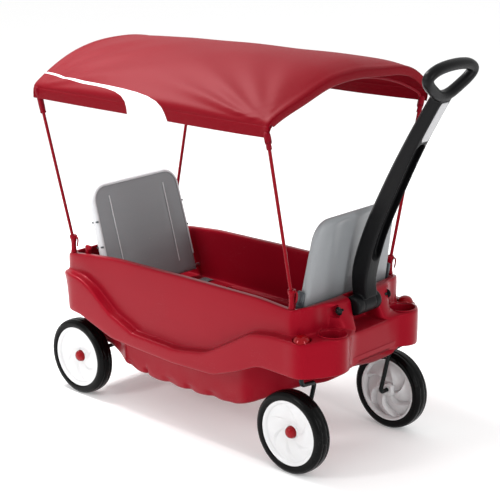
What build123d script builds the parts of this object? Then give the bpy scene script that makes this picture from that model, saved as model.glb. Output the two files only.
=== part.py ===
from build123d import *
import math
import os

# Two-seat children's wagon with a canopy and a pull handle. Millimetres, +X towards the
# handle, +Y to the left, +Z up, wheels standing on Z = 0. The dimensions below are taken
# from a station midway between the axles; ORIGIN_X moves the finished wagon so that its
# origin is the centre of its overall length.
ORIGIN_X = 114.7

# Running gear
WHEEL_RADIUS = 117.5
TYRE_WIDTH = 50.0
RIM_RADIUS = 93.0
AXLE_X = 431.0
WHEEL_Y = 216.0
ROD_RADIUS = 6.35
RUNNING_GAP = 0.08
KINGPIN_X = 466.0
KINGPIN_Y = 224.0
ROD_DROP_Y = 164.0
ROD_BEND = 15.0
AXLE_END = 18.0

# Moulded body
BODY_WALL = 5.0
BUMPER_X = -520.0
BAND_HALF_WIDTH = 252.0
UPPER_HALF_WIDTH = 222.0
PANEL_X = 530.0
CUP_X = 511.0
CUP_Y = 150.0
CUP_RADIUS = 35.5
CUP_RIM_Z = 400.0
CUP_DEPTH = 62.0
CUP_WALL = 4.0
CUP_POD_RADIUS = 45.0
CUP_RELIEF_RADIUS = 40.0
SHELF_Z = 390.0
POD_BASE_Z = 286.0
POD_RADIUS = 30.0
KINGPIN_BOSS_RADIUS = 16.0
KINGPIN_BORE_RADIUS = 10.0
CAP_POCKET_Z = 376.0
CAP_POCKET_RADIUS = 25.0
RECESS_HALF_WIDTH = 52.0
RECESS_X = 457.0
RECESS_Z = 387.0

# Inner tub
TUB_HALF_WIDTH = 199.0
TUB_REAR_X = -470.0
TUB_FRONT_X = 444.0
TUB_WALL = 4.0
TUB_CLEARANCE = 0.3
BENCH_Z = 300.0
WELL_HALF_LENGTH = 175.0
WELL_HALF_WIDTH = 180.0
WELL_Z = 130.0

# Pull handle
HINGE_X = 493.0
HINGE_Z = 448.0
BARREL_RADIUS = 28.0
BARREL_HALF_LENGTH = 50.0
BOLT_RADIUS = 5.0
BOLT_SEAT_Y = 104.0
BOLT_HEAD_RADIUS = 9.0
BOLT_RECESS_RADIUS = 18.0
BOLT_BOSS_RADIUS = 22.0
SHAFT_WIDTH = 40.0
CHANNEL_WIDTH = 30.0
GRIP_X = 745.0
GRIP_Z = 1089.0
GRIP_TUBE = 16.0
GRIP_THICKNESS = 30.0
GRIP_LEAN = 20.0
CHANNEL_DEPTH = 12.0
CHANNEL_LOW_Z = 572.0
CHANNEL_HIGH_Z = 914.0

# Folding seat backs
SEAT_CORNER_RADIUS = 46.0
SEAT_THICKNESS = 26.0
SEAT_HINGE_Z = 335.0
FRONT_SEAT = {"hinge_x": 400.0, "lean": 9.5, "height": 372.0, "foot": 188.0, "taper": 0.0635}
REAR_SEAT = {"hinge_x": -337.0, "lean": -16.5, "height": 322.0, "foot": 184.0, "taper": 0.02}
SEAT_PIN_RADIUS = 6.0
SEAT_SKIN = 3.5
LATCH_HEIGHT = 150.0

# Canopy frame
POLE_RADIUS = 4.75
POLE_BASE_Y = 211.0
POLE_TOP_Y = 316.0
POLE_TOP_Z = 935.0
POLE_SOCKET_DEPTH = 14.0
SOCKET_BOSS_RADIUS = 7.3
STUB_RADIUS = 5.0
STUB_LENGTH = 36.0
FITTING_HEIGHT = 54.0
FRONT_POLE = {"base_x": 418.0, "base_z": 464.0, "top_x": 428.0, "flap_z": 915.0}
REAR_POLE = {"base_x": -460.0, "base_z": 441.0, "top_x": -466.0, "flap_z": 882.0}
BOW_RADIUS = 3.0
FERRULE_RADIUS = 5.0
BOW_SLOPE = 28.0
BOW_RISER = 18.0
CANOPY_HALF_WIDTH = 324.5
CANOPY_SKIN = 3.0

SIDES = {"right": -1, "left": 1}
BOTTOM = (Align.CENTER, Align.CENTER, Align.MIN)


def plan_prism(points, low, high):
    """Upright prism on a plan outline given as x, y points."""
    outline = make_face(Polyline(*points, close=True))
    return Pos(0, 0, low) * extrude(outline, amount=high - low)


def side_prism(points, half_width):
    """Prism across the wagon on a side outline given as x, z points."""
    outline = make_face(Plane.XZ * Polyline(*points, close=True))
    return extrude(outline, amount=half_width, both=True)


def mirrored(points):
    """A plan outline from its left half, listed from the rear to the front."""
    return points + [(x, -y) for x, y in reversed(points)]


def rod_y(radius, length):
    """Cylinder centred on the origin with its axis across the wagon."""
    return Rot(90, 0, 0) * Cylinder(radius, length)


def across(radius, near, far):
    """Cylinder across the wagon from one y to another."""
    return Pos(0, (near + far) / 2, 0) * rod_y(radius, abs(far - near))


# --- Body -----------------------------------------------------------------------------


def upper_outline():
    """Plan of the tub above the side band, its front corners cut back to the cups."""
    corner = 45.0
    half = [
        (-500, UPPER_HALF_WIDTH - corner),
        (-500 + corner * 0.3, UPPER_HALF_WIDTH - corner * 0.3),
        (-500 + corner, UPPER_HALF_WIDTH),
        (425, UPPER_HALF_WIDTH),
        (450, 205),
        (508, 100),
        (524, 72),
        (528, 60),
    ]
    return make_face(Polyline(*mirrored(half), close=True))


def band_outline():
    """Plan of the side band: a rounded tray with a kingpin pod and a cup pod each side."""
    corner = 90.0
    length = 470.0 - BUMPER_X
    tray = Pos(BUMPER_X + length / 2, 0) * Rectangle(length, 2 * BAND_HALF_WIDTH)
    tray = fillet(tray.vertices().group_by(Axis.X)[0], corner)
    plan = tray + Pos(PANEL_X / 2, 0) * Rectangle(PANEL_X, 2 * CUP_Y)
    for side in SIDES.values():
        plan += Pos(KINGPIN_X - 4, side * (KINGPIN_Y - 2)) * Circle(POD_RADIUS)
        plan += Pos(CUP_X, side * CUP_Y) * Circle(CUP_POD_RADIUS)
    return plan


def hull_outline():
    """Plan of the lower hull, narrow between the wheels."""
    half = [
        (-492, 172),
        (-300, 172),
        (-285, 190),
        (235, 190),
        (262, 166),
        (330, 130),
        (460, 108),
        (535, 104),
    ]
    return make_face(Polyline(*mirrored(half), close=True))


UPPER_SIDE = [
    (-501, 290),
    (-501, 412),
    (-490, 430),
    (-474, 441),
    (-444, 441),
    (-380, 450),
    (-260, 461),
    (0, 467),
    (300, 470),
    (400, 463),
    (430, 464),
    (455, 472),
    (480, 474),
    (503, 462),
    (517, 442),
    (527, 387),
    (531, 350),
    (531, 300),
    (440, 292),
    (332, 292),
    (242, 252),
    (157, 224),
    (0, 218),
    (-260, 230),
    (-399, 276),
]
BAND_SIDE = [
    (-521, 290),
    (-521, 360),
    (-505, 378),
    (-467, 385),
    (-405, 385),
    (-343, 357),
    (-270, 301),
    (-167, 261),
    (15, 257),
    (131, 278),
    (216, 326),
    (299, 375),
    (370, 388),
    (440, SHELF_Z),
    (490, CUP_RIM_Z),
    (557, CUP_RIM_Z),
    (557, 300),
    (500, 290),
    (440, POD_BASE_Z),
    (332, 288),
    (242, 247),
    (157, 217),
    (0, 211),
    (-169, 217),
    (-260, 222),
    (-399, 266),
    (-500, 272),
]
HULL_SIDE = [
    (-493, 280),
    (-478, 180),
    (-455, 163),
    (-345, 160),
    (-282, 121),
    (-205, 112),
    (-134, 106),
    (24, 108),
    (188, 117),
    (253, 140),
    (299, 165),
    (380, 205),
    (455, 232),
    (526, 277),
    (534, 313),
    (528, 387),
    (300, 387),
    (0, 280),
]


def body_form(inset):
    """Closed outer form of the body with every wall moved inwards by inset."""
    form = None
    for plan, side in (
        (upper_outline(), UPPER_SIDE),
        (band_outline(), BAND_SIDE),
        (hull_outline(), HULL_SIDE),
    ):
        profile = make_face(Polyline(*side, close=True))
        if inset:
            plan = offset(plan, amount=-inset)
            profile = offset(profile, amount=-inset)
        solid = extrude(plan, amount=600) & extrude(Plane.XZ * profile, amount=300, both=True)
        form = solid if form is None else form + solid
    corner = (Align.MIN, Align.CENTER, Align.MIN)
    recess = Box(200, 2 * (RECESS_HALF_WIDTH + inset), 200, align=corner)
    form -= Pos(RECESS_X - inset, 0, RECESS_Z - inset) * recess
    for side in SIDES.values():
        relief = Cylinder(CUP_RELIEF_RADIUS + inset, 200, align=BOTTOM)
        form -= Pos(CUP_X, side * CUP_Y, CUP_RIM_Z - inset) * relief
    return form


def cavity(outset):
    """Space inside the inner tub: two benches with a foot well between them."""
    half_width = TUB_HALF_WIDTH + outset
    length = TUB_FRONT_X - TUB_REAR_X + 2 * outset
    middle = (TUB_FRONT_X + TUB_REAR_X) / 2
    plan = Pos(middle, 0) * RectangleRounded(length, 2 * half_width, 25 + outset)
    above = Pos(0, 0, BENCH_Z - outset) * extrude(plan, amount=300)
    well_plan = RectangleRounded(
        2 * (WELL_HALF_LENGTH + outset), 2 * (WELL_HALF_WIDTH + outset), 20 + outset
    )
    well = Pos(0, 0, WELL_Z - outset) * extrude(well_plan, amount=200)
    return above + well


def body_shell():
    """Blow-moulded outer body: hull, side band, pods, towers and their bosses."""
    shell = body_form(0) - body_form(BODY_WALL)
    opening = cavity(TUB_WALL + TUB_CLEARANCE)
    shell -= opening & Pos(0, 0, BENCH_Z + 200) * Box(1200, 600, 400)
    hinge = Pos(HINGE_X, 0, HINGE_Z)
    for side in SIDES.values():
        cup = Pos(CUP_X, side * CUP_Y, CUP_RIM_Z - CUP_DEPTH)
        cup_wall = Cylinder(CUP_RADIUS + CUP_WALL, CUP_DEPTH + CUP_WALL, align=BOTTOM)
        shell += cup * Pos(0, 0, -CUP_WALL) * cup_wall
        shell -= cup * Cylinder(CUP_RADIUS, CUP_DEPTH + 20, align=BOTTOM)
        kingpin = Pos(KINGPIN_X, side * KINGPIN_Y, 0)
        boss = Cylinder(KINGPIN_BOSS_RADIUS, CAP_POCKET_Z - POD_BASE_Z + 4, align=BOTTOM)
        shell += kingpin * Pos(0, 0, POD_BASE_Z - 4) * boss
        shell -= kingpin * Pos(0, 0, CAP_POCKET_Z) * Cylinder(CAP_POCKET_RADIUS, 60, align=BOTTOM)
        shell -= kingpin * Pos(0, 0, POD_BASE_Z - 4) * Cylinder(KINGPIN_BORE_RADIUS, 200, align=BOTTOM)
        shell -= hinge * across(BOLT_RECESS_RADIUS, side * BOLT_SEAT_Y, side * 200)
        shell += hinge * across(BOLT_BOSS_RADIUS, side * RECESS_HALF_WIDTH, side * BOLT_SEAT_Y)
        shell -= hinge * across(BOLT_RADIUS + 0.05, side * 40, side * 130)
        for pole in (FRONT_POLE, REAR_POLE):
            foot = Pos(pole["base_x"], side * POLE_BASE_Y, pole["base_z"] - STUB_LENGTH - 6)
            socket = foot * Cylinder(SOCKET_BOSS_RADIUS, STUB_LENGTH + 20, align=BOTTOM)
            shell += socket & side_prism(UPPER_SIDE, 300)
            shell -= foot * Pos(0, 0, 4) * Cylinder(STUB_RADIUS + 0.05, 60, align=BOTTOM)
    return shell


def inner_tub():
    """Seat tub that drops into the body: walls, two benches and the foot well."""
    tub = cavity(TUB_WALL) - cavity(0)
    below_rim = UPPER_SIDE[1:UPPER_SIDE.index((531, 350)) + 1] + [(531, 100), (-501, 100)]
    tub &= side_prism(below_rim, 300)
    for seat in (FRONT_SEAT, REAR_SEAT):
        for side in SIDES.values():
            pin = Pos(seat["hinge_x"], 0, SEAT_HINGE_Z)
            tub -= pin * across(SEAT_PIN_RADIUS + 0.05, side * 195, side * 210)
    return tub


# --- Seats ----------------------------------------------------------------------------


def seat_back(seat):
    """Moulded seat back, hinged at its lower edge, narrower at the top, leaning outwards."""
    height = seat["height"]
    foot = seat["foot"]
    top = foot - seat["taper"] * height
    outline = make_face(Polyline((-foot, 0), (foot, 0), (top, height), (-top, height), close=True))
    outline = fillet(outline.vertices().group_by(Axis.Y)[-1], SEAT_CORNER_RADIUS)
    back = extrude(Plane.YZ * outline, amount=SEAT_THICKNESS / 2, both=True)
    back += rod_y(SEAT_THICKNESS / 2, 2 * foot)
    below = (Align.CENTER, Align.CENTER, Align.MAX)
    hollow = Box(SEAT_THICKNESS - 2 * SEAT_SKIN, 2 * 125, height + 30, align=below)
    back -= Pos(0, 0, height - 6) * hollow
    for side in SIDES.values():
        back -= across(SEAT_PIN_RADIUS + 0.06, side * 150, side * 200)
    return Pos(seat["hinge_x"], 0, SEAT_HINGE_Z) * Rot(0, seat["lean"], 0) * back


def seat_pins(seat):
    """Pair of hinge pins between a seat back and the tub walls."""
    place = Pos(seat["hinge_x"], 0, SEAT_HINGE_Z)
    return [place * across(SEAT_PIN_RADIUS, side * 155, side * 203) for side in SIDES.values()]


def seat_latches(seat):
    """Finger levers on the two edges of a seat back, just above the rim."""
    levers = []
    for side in SIDES.values():
        edge = seat["foot"] - seat["taper"] * LATCH_HEIGHT
        lever = Pos(0, side * (edge + 5.5), LATCH_HEIGHT) * Box(22, 8, 42)
        lever = fillet(lever.edges().filter_by(Axis.Y), 6)
        place = Pos(seat["hinge_x"], 0, SEAT_HINGE_Z) * Rot(0, seat["lean"], 0)
        levers.append(place * lever)
    return levers


def seat_stops(x, middle_z):
    """Hooked brackets on the tub wall behind a seat back."""
    stops = []
    for side in SIDES.values():
        stop = Pos(x, side * (TUB_HALF_WIDTH - 6), middle_z) * Box(16, 12, 44)
        stops.append(fillet(stop.edges().filter_by(Axis.Y), 4))
    return stops


def lap_belt(end_x):
    """Two strap halves lying on a bench, from the tub walls to the buckle."""
    straps = []
    for side in SIDES.values():
        strap = Pos(end_x, side * 108, BENCH_Z + 1.8) * Box(38, 166, 2.4)
        straps.append(fillet(strap.edges().filter_by(Axis.Z), 3))
    return straps


def belt_buckle(end_x):
    """Side-release buckle joining the two strap halves."""
    case = Pos(end_x, 0, BENCH_Z + 7.2) * Box(44, 48, 13)
    return fillet(case.edges().filter_by(Axis.Z), 7)


# --- Handle ---------------------------------------------------------------------------

SHAFT_FRONT = [(520, 478), (517, 529), (548, 645), (607, 783), (670, 914), (742, 1040)]
SHAFT_REAR = [(708, 1057), (634, 932), (565, 803), (501, 665), (463, 543), (466, 455)]


def channel(front):
    """Groove along the front of the shaft, from below the label to above the barrel."""
    floor = Pos(-CHANNEL_DEPTH, 0) * front
    mouth = Pos(60, 0) * front
    ends = Line(floor @ 1, mouth @ 1) + Line(mouth @ 0, floor @ 0)
    groove = extrude(
        make_face(Plane.XZ * (floor + mouth + ends)), amount=CHANNEL_WIDTH / 2, both=True
    )
    middle_z = (CHANNEL_LOW_Z + CHANNEL_HIGH_Z) / 2
    return groove & Pos(600, 0, middle_z) * Box(400, 100, CHANNEL_HIGH_Z - CHANNEL_LOW_Z)


def grip():
    """Closed stirrup loop, leaning forwards at the top of the shaft."""
    half = [(0, 39), (45, 36), (84, 25), (58, -6), (22, -40)]
    outline = half + [(-y, s) for y, s in reversed(half[1:])]
    loop = make_face(Polyline(*outline, close=True))
    ring = offset(loop, amount=GRIP_TUBE) - offset(loop, amount=-GRIP_TUBE)
    facing = Plane(origin=(GRIP_X, 0, GRIP_Z), x_dir=(0, 1, 0), z_dir=(1, 0, 0))
    leaning = facing.rotated((0, GRIP_LEAN, 0))
    return extrude(leaning * ring, amount=GRIP_THICKNESS / 2, both=True)


def handle():
    """One-piece handle: hinge barrel, curved channelled shaft and stirrup grip."""
    front = Spline(*SHAFT_FRONT)
    rear = Spline(*SHAFT_REAR)
    top = Line(SHAFT_FRONT[-1], SHAFT_REAR[0])
    bottom = Line(SHAFT_REAR[-1], SHAFT_FRONT[0])
    side_face = make_face(Plane.XZ * (front + top + rear + bottom))
    shaft = extrude(side_face, amount=SHAFT_WIDTH / 2, both=True)
    barrel = Pos(HINGE_X, 0, HINGE_Z) * rod_y(BARREL_RADIUS, 2 * BARREL_HALF_LENGTH)
    shape = shaft - channel(front) + barrel + grip()
    shape -= Pos(HINGE_X, 0, HINGE_Z) * rod_y(BOLT_RADIUS + RUNNING_GAP, 200)
    return shape


def handle_label():
    """Blank metallic plate on the front of the shaft, above the channel."""
    plate = Box(1.5, 26, 96)
    plate = fillet(plate.edges().filter_by(Axis.X), 3)
    (low_x, low_z), (high_x, high_z) = SHAFT_FRONT[-2:]
    lean = math.degrees(math.atan2(high_x - low_x, high_z - low_z))
    return Pos(702.6, 0, 968) * Rot(0, lean, 0) * plate


def handle_bolt():
    """Pivot bolt through both towers and the barrel, with a low round head."""
    head = across(BOLT_HEAD_RADIUS, -BOLT_SEAT_Y, -BOLT_SEAT_Y - 6)
    return Pos(HINGE_X, 0, HINGE_Z) * (rod_y(BOLT_RADIUS, 2 * BOLT_SEAT_Y) + head)


def handle_nut():
    """Cap nut on the far end of the pivot bolt."""
    nut = across(BOLT_HEAD_RADIUS, BOLT_SEAT_Y, BOLT_SEAT_Y + 8)
    return Pos(HINGE_X, 0, HINGE_Z) * nut


# --- Running gear ---------------------------------------------------------------------


def caster_rod(side):
    """Bent steel rod: kingpin, inboard step, drop behind the kingpin, wheel axle."""
    route = [
        (KINGPIN_X, side * KINGPIN_Y, 392),
        (KINGPIN_X, side * KINGPIN_Y, 262),
        (KINGPIN_X - 4, side * ROD_DROP_Y, 254),
        (AXLE_X, side * ROD_DROP_Y, WHEEL_RADIUS),
        (AXLE_X, side * (WHEEL_Y + AXLE_END), WHEEL_RADIUS),
    ]
    path = FilletPolyline(*route, radius=ROD_BEND)
    section = Plane(origin=route[0], z_dir=(0, 0, -1)) * Circle(ROD_RADIUS)
    return sweep(section, path=path)


def kingpin_cap(side):
    """Domed cap pressed on the top of the kingpin."""
    half = [(0, 0), (22, 0), (22, 5), (20, 13), (15, 20), (8, 24), (0, 25)]
    dome = revolve(make_face(Plane.XZ * Polyline(*half, close=True)), Axis.Z)
    socket = Cylinder(ROD_RADIUS, 15, align=BOTTOM)
    return Pos(KINGPIN_X, side * KINGPIN_Y, CAP_POCKET_Z + 1) * (dome - socket)


def kingpin_bush(side):
    """Plastic sleeve that the kingpin turns in."""
    length = CAP_POCKET_Z - POD_BASE_Z
    bush = Cylinder(KINGPIN_BORE_RADIUS - 0.05, length) - Cylinder(ROD_RADIUS + RUNNING_GAP, length)
    return Pos(KINGPIN_X, side * KINGPIN_Y, POD_BASE_Z + length / 2) * bush


def facing_out(side):
    """Half turn for what is made facing left and goes on the right side."""
    return Rot(0, 0, 0 if side > 0 else 180)


def turned(points):
    """Solid of revolution about the wheel axis from radius, offset points."""
    return revolve(make_face(Polyline(*points, close=True)), Axis.Y)


def wheel_place(x, side):
    """Wheel position: its outer face looks away from the wagon."""
    return Pos(x, side * WHEEL_Y, WHEEL_RADIUS) * facing_out(side)


def tyre():
    """Hollow-look plastic tyre with a crowned tread."""
    half = TYRE_WIDTH / 2
    profile = [(RIM_RADIUS, 22), (97, half), (106, half), (113, 21), (116.5, 11)]
    return turned([(r, -y) for r, y in profile] + [(WHEEL_RADIUS, 0)] + profile[::-1])


def rim():
    """Dished disc wheel: hub sleeve, web and the band under the tyre."""
    bore = ROD_RADIUS + RUNNING_GAP
    return turned([
        (bore, -22), (15, -22), (18, 3), (78, 3), (86, -22), (RIM_RADIUS, -22),
        (RIM_RADIUS, 22), (88, 22), (82, 11), (20, 11), (18, 12), (bore, 12),
    ])


def hub_cap():
    """Acorn cap over the outer end of the axle."""
    return turned([
        (13.5, 12), (17.5, 12), (17.5, 18), (15, 24), (9, 28), (0, 29), (0, 25), (8, 24), (13.5, 19),
    ])


def push_nut():
    """Spring washer pushed on the axle outside the hub."""
    return turned([(ROD_RADIUS, 12.4), (11, 12.4), (11, 14), (ROD_RADIUS, 15.5)])


def rear_axle():
    """Straight steel axle through both rear wheels."""
    return Pos(-AXLE_X, 0, WHEEL_RADIUS) * rod_y(ROD_RADIUS, 2 * (WHEEL_Y + AXLE_END))


def axle_brackets():
    """Two saddles that hold the rear axle under the hull."""
    saddles = []
    for side in SIDES.values():
        block = Box(46, 26, 58, align=(Align.CENTER, Align.CENTER, Align.MAX))
        block = fillet(block.edges().filter_by(Axis.Y).group_by(Axis.Z)[0], 14)
        bore = Pos(-AXLE_X, 0, WHEEL_RADIUS) * rod_y(ROD_RADIUS + 0.02, 400)
        saddles.append(Pos(-AXLE_X, side * 148, 161) * block - bore)
    return saddles


# --- Canopy ---------------------------------------------------------------------------


def pole_fitting(pole, side):
    """Red plug at the foot of a pole: stub, flared head and a hooked spring finger."""
    top = FITTING_HEIGHT
    half = [
        (0, -STUB_LENGTH), (STUB_RADIUS, -STUB_LENGTH), (STUB_RADIUS, 0.4), (9, 0.4), (8, 8),
        (8, top - 18), (12, top - 8), (12, top - 2), (10, top), (0, top),
    ]
    plug = revolve(make_face(Plane.XZ * Polyline(*half, close=True)), Axis.Z)
    hook = Pos(12, 0, top - 5) * Box(16, 8, 3) + Pos(18.5, 0, top - 20) * Box(3, 8, 32)
    place = Pos(pole["base_x"], side * POLE_BASE_Y, pole["base_z"])
    return place * (plug + hook) - canopy_pole(pole, side)


def pole_ends(pole, side):
    """Centres of a pole's lower and upper ends."""
    foot = Vector(pole["base_x"], side * (POLE_BASE_Y + 1), 0)
    foot.Z = pole["base_z"] + FITTING_HEIGHT - POLE_SOCKET_DEPTH
    head = Vector(pole["top_x"], side * POLE_TOP_Y, POLE_TOP_Z)
    return foot, head


def canopy_pole(pole, side):
    """Straight painted tube, splayed outwards to a corner of the canopy."""
    foot, head = pole_ends(pole, side)
    along = head - foot
    tube = Plane(origin=foot, z_dir=along) * Cylinder(POLE_RADIUS, along.length, align=BOTTOM)
    return tube - Pos(head) * Sphere(FERRULE_RADIUS)


def canopy_bow(pole, crown):
    """Springy rod arched from one pole top to the other, with a ball ferrule each end."""
    slope = math.radians(BOW_SLOPE)
    rise = crown - POLE_TOP_Z - BOW_RISER
    across_small = 1 - math.sin(slope)
    radius = (POLE_TOP_Y * math.cos(slope) - rise * across_small) / (
        math.sin(slope) * math.cos(slope) - (1 - math.cos(slope)) * across_small
    )
    corner = (rise - radius * (1 - math.cos(slope))) / math.cos(slope)
    turn = 90 - BOW_SLOPE
    first = Line((POLE_TOP_Y, POLE_TOP_Z), (POLE_TOP_Y, POLE_TOP_Z + BOW_RISER))
    bend = JernArc(first @ 1, first % 1, corner, turn)
    crest = JernArc(bend @ 1, bend % 1, radius, 2 * BOW_SLOPE)
    last_bend = JernArc(crest @ 1, crest % 1, corner, turn)
    last = Line(last_bend @ 1, (-POLE_TOP_Y, POLE_TOP_Z))
    x = pole["top_x"]
    path = Plane.YZ.offset(x) * (first + bend + crest + last_bend + last)
    section = Plane(origin=(x, POLE_TOP_Y, POLE_TOP_Z), z_dir=(0, 0, 1)) * Circle(BOW_RADIUS)
    bow = sweep(section, path=path)
    for side in SIDES.values():
        bow += Pos(x, side * POLE_TOP_Y, POLE_TOP_Z) * Sphere(FERRULE_RADIUS)
    return bow


# Station along the canopy: x, bottom of the hem, shoulder and ridge heights.
CANOPY_STATIONS = [
    (-484, 929, 966, 1060),
    (-300, 932, 978, 1084),
    (-50, 936, 985, 1102),
    (200, 941, 990, 1108),
    (340, 944, 992, 1105),
    (400, 946, 990, 1095),
    (436, 947, 988, 1066),
]


def canopy_section(station, inset):
    """Vault outline at one station, moved inwards by inset."""
    x, hem, shoulder, ridge = station
    edge = CANOPY_HALF_WIDTH - inset
    arch = ThreePointArc((edge, shoulder), (0, ridge - inset), (-edge, shoulder))
    base = Polyline((-edge, shoulder), (-edge, hem), (edge, hem), (edge, shoulder))
    return Plane.YZ.offset(x) * make_face(arch + base)


def canopy():
    """Fabric vault with side hems and a flap down each pole."""
    outer = loft([canopy_section(station, 0) for station in CANOPY_STATIONS], ruled=True)
    rear, front = CANOPY_STATIONS[0], CANOPY_STATIONS[-1]
    past_rear = (rear[0] - 2, *rear[1:])
    past_front = (front[0] + 2, *front[1:])
    stations = [past_rear, *CANOPY_STATIONS[1:-1], past_front]
    inner = loft([canopy_section(station, CANOPY_SKIN) for station in stations], ruled=True)
    inner += Pos(-24, 0, 930) * Box(1000, 2 * (CANOPY_HALF_WIDTH - CANOPY_SKIN), 70)
    cover = outer - inner
    for pole in (FRONT_POLE, REAR_POLE):
        low = pole["flap_z"]
        for side in SIDES.values():
            flap = Box(34, CANOPY_SKIN, 960 - low, align=(Align.CENTER, Align.MAX, Align.MIN))
            place = Pos(pole["top_x"], side * CANOPY_HALF_WIDTH, low)
            cover += place * facing_out(side) * flap
    return cover


# --- Assembly -------------------------------------------------------------------------


def build_parts():
    """Every sub-part by node name, in place."""
    parts = {
        "body_shell": body_shell(),
        "inner_tub": inner_tub(),
        "front_seat_back": seat_back(FRONT_SEAT),
        "rear_seat_back": seat_back(REAR_SEAT),
        "front_seat_pins": seat_pins(FRONT_SEAT),
        "rear_seat_pins": seat_pins(REAR_SEAT),
        "front_seat_latches": seat_latches(FRONT_SEAT),
        "rear_seat_stops": seat_stops(-416, 446),
        "front_lap_belt": lap_belt(300),
        "rear_lap_belt": lap_belt(-280),
        "front_belt_buckle": belt_buckle(300),
        "rear_belt_buckle": belt_buckle(-280),
        "handle": handle(),
        "handle_label": handle_label(),
        "handle_bolt": handle_bolt(),
        "handle_nut": handle_nut(),
        "rear_axle": rear_axle(),
        "axle_brackets": axle_brackets(),
        "front_bow": canopy_bow(FRONT_POLE, 1052),
        "rear_bow": canopy_bow(REAR_POLE, 1050),
        "canopy": canopy(),
    }
    for name, side in SIDES.items():
        parts["caster_rod_" + name] = caster_rod(side)
        parts["kingpin_cap_" + name] = kingpin_cap(side)
        parts["kingpin_bush_" + name] = kingpin_bush(side)
        for end, x, pole in (("front", AXLE_X, FRONT_POLE), ("rear", -AXLE_X, REAR_POLE)):
            corner = end + "_" + name
            place = wheel_place(x, side)
            parts["tyre_" + corner] = place * tyre()
            parts["rim_" + corner] = place * rim()
            parts["hub_cap_" + corner] = place * hub_cap()
            parts["push_nut_" + corner] = place * push_nut()
            parts["pole_" + corner] = canopy_pole(pole, side)
            parts["fitting_" + corner] = pole_fitting(pole, side)
    return parts


def main():
    os.makedirs("parts", exist_ok=True)
    for name, shape in build_parts().items():
        solids = shape if isinstance(shape, list) else [shape]
        placed = [Pos(-ORIGIN_X, 0, 0) * solid for solid in solids]
        node = placed[0] if len(placed) == 1 else Compound(children=placed)
        export_step(node, f"parts/{name}.step")


main()
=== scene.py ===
import math

import bpy
import bmesh
from mathutils import Matrix, Vector
from mathutils.kdtree import KDTree


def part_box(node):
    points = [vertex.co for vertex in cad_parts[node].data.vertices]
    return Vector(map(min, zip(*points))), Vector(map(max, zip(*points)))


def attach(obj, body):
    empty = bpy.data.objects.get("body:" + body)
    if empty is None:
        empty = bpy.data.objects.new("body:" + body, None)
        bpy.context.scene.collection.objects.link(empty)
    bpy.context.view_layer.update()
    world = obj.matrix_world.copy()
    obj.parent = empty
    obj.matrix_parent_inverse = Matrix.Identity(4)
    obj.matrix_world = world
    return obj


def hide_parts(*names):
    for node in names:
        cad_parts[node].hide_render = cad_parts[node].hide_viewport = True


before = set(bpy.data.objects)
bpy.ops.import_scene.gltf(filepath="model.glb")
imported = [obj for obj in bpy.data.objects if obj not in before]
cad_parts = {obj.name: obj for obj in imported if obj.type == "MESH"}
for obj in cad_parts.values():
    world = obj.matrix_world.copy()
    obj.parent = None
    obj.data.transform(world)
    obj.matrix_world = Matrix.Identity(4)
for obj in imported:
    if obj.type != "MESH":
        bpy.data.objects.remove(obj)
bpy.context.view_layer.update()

# Two-seat children's wagon with a canopy and a pull handle. Shapes are drawn in millimetres,
# x forwards from midway between the axles, y to the left, z above the ground, and at()
# carries them into the model's frame in metres.
MM = 0.001
SIDES = {"right": -1, "left": 1}

# Driving sizes, the same as the model's
WHEEL_RADIUS = 117.5
WHEEL_Y = 216
AXLE_X = 431
UPPER_HALF_WIDTH = 222.5
TUB_HALF_WIDTH = 199
CUP = (511, 150)
CUP_RADIUS = 35.5
CUP_RIM_Z = 400
CUP_DEPTH = 62
KINGPIN = (466, 224)
CAP_POCKET_Z = 377
HINGE = (493, 448)
BOLT_SEAT_Y = 104
BENCH_Z = 300
WELL_Z = 130
WELL_HALF_LENGTH = 175
SEAT_HALF_THICKNESS = 13
SEAT_CORNER = 46
SEAT_HINGE_Z = 335
FRONT_SEAT = {"hinge_x": 400, "lean": 9.5, "height": 372, "foot": 188, "taper": 0.0635}
REAR_SEAT = {"hinge_x": -337, "lean": -16.5, "height": 322, "foot": 184, "taper": 0.02}
POLE_FOOT_Y = 211
POLE_TOP = (316, 935)
FRONT_POLE = {"foot": (418, 464), "top_x": 428}
REAR_POLE = {"foot": (-460, 441), "top_x": -466}
FITTING_HEIGHT = 54


def centre(node):
    low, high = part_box(node)
    return (low + high) / 2


MIDWAY = (centre("tyre_front_left").x + centre("tyre_rear_left").x) / 2


def at(x, y, z):
    return Vector((x * MM + MIDWAY, y * MM, z * MM))


# --- Small helpers --------------------------------------------------------------------


def lerp(a, b, t):
    return a + (b - a) * t


def ease(t):
    t = min(max(t, 0), 1)
    return t * t * (3 - 2 * t)


def hump(value, middle, width):
    return math.exp(-(((value - middle) / width) ** 2))


def profile(*points):
    """A height that runs straight between x, z points and stays level past the ends."""

    def height(x):
        if x <= points[0][0]:
            return points[0][1]
        for (x0, z0), (x1, z1) in zip(points, points[1:]):
            if x <= x1:
                return lerp(z0, z1, (x - x0) / (x1 - x0))
        return points[-1][1]

    return height


def curve_through(points, steps, closed=False):
    """Points along a smooth line through the given ones, steps to each stretch."""
    points = [Vector(p) for p in points]
    count = len(points)

    def pick(k):
        return points[k % count if closed else min(max(k, 0), count - 1)]

    line = []
    for i in range(count if closed else count - 1):
        a, b, c, d = (pick(i + k) for k in (-1, 0, 1, 2))
        for step in range(steps):
            t = step / steps
            bend = (a - b * 2.5 + c * 2 - d / 2) * t**2
            twist = (b * 1.5 - a / 2 - c * 1.5 + d / 2) * t**3
            line.append(b + (c - a) * (t / 2) + bend + twist)
    if not closed:
        line.append(points[-1])
    return line


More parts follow.
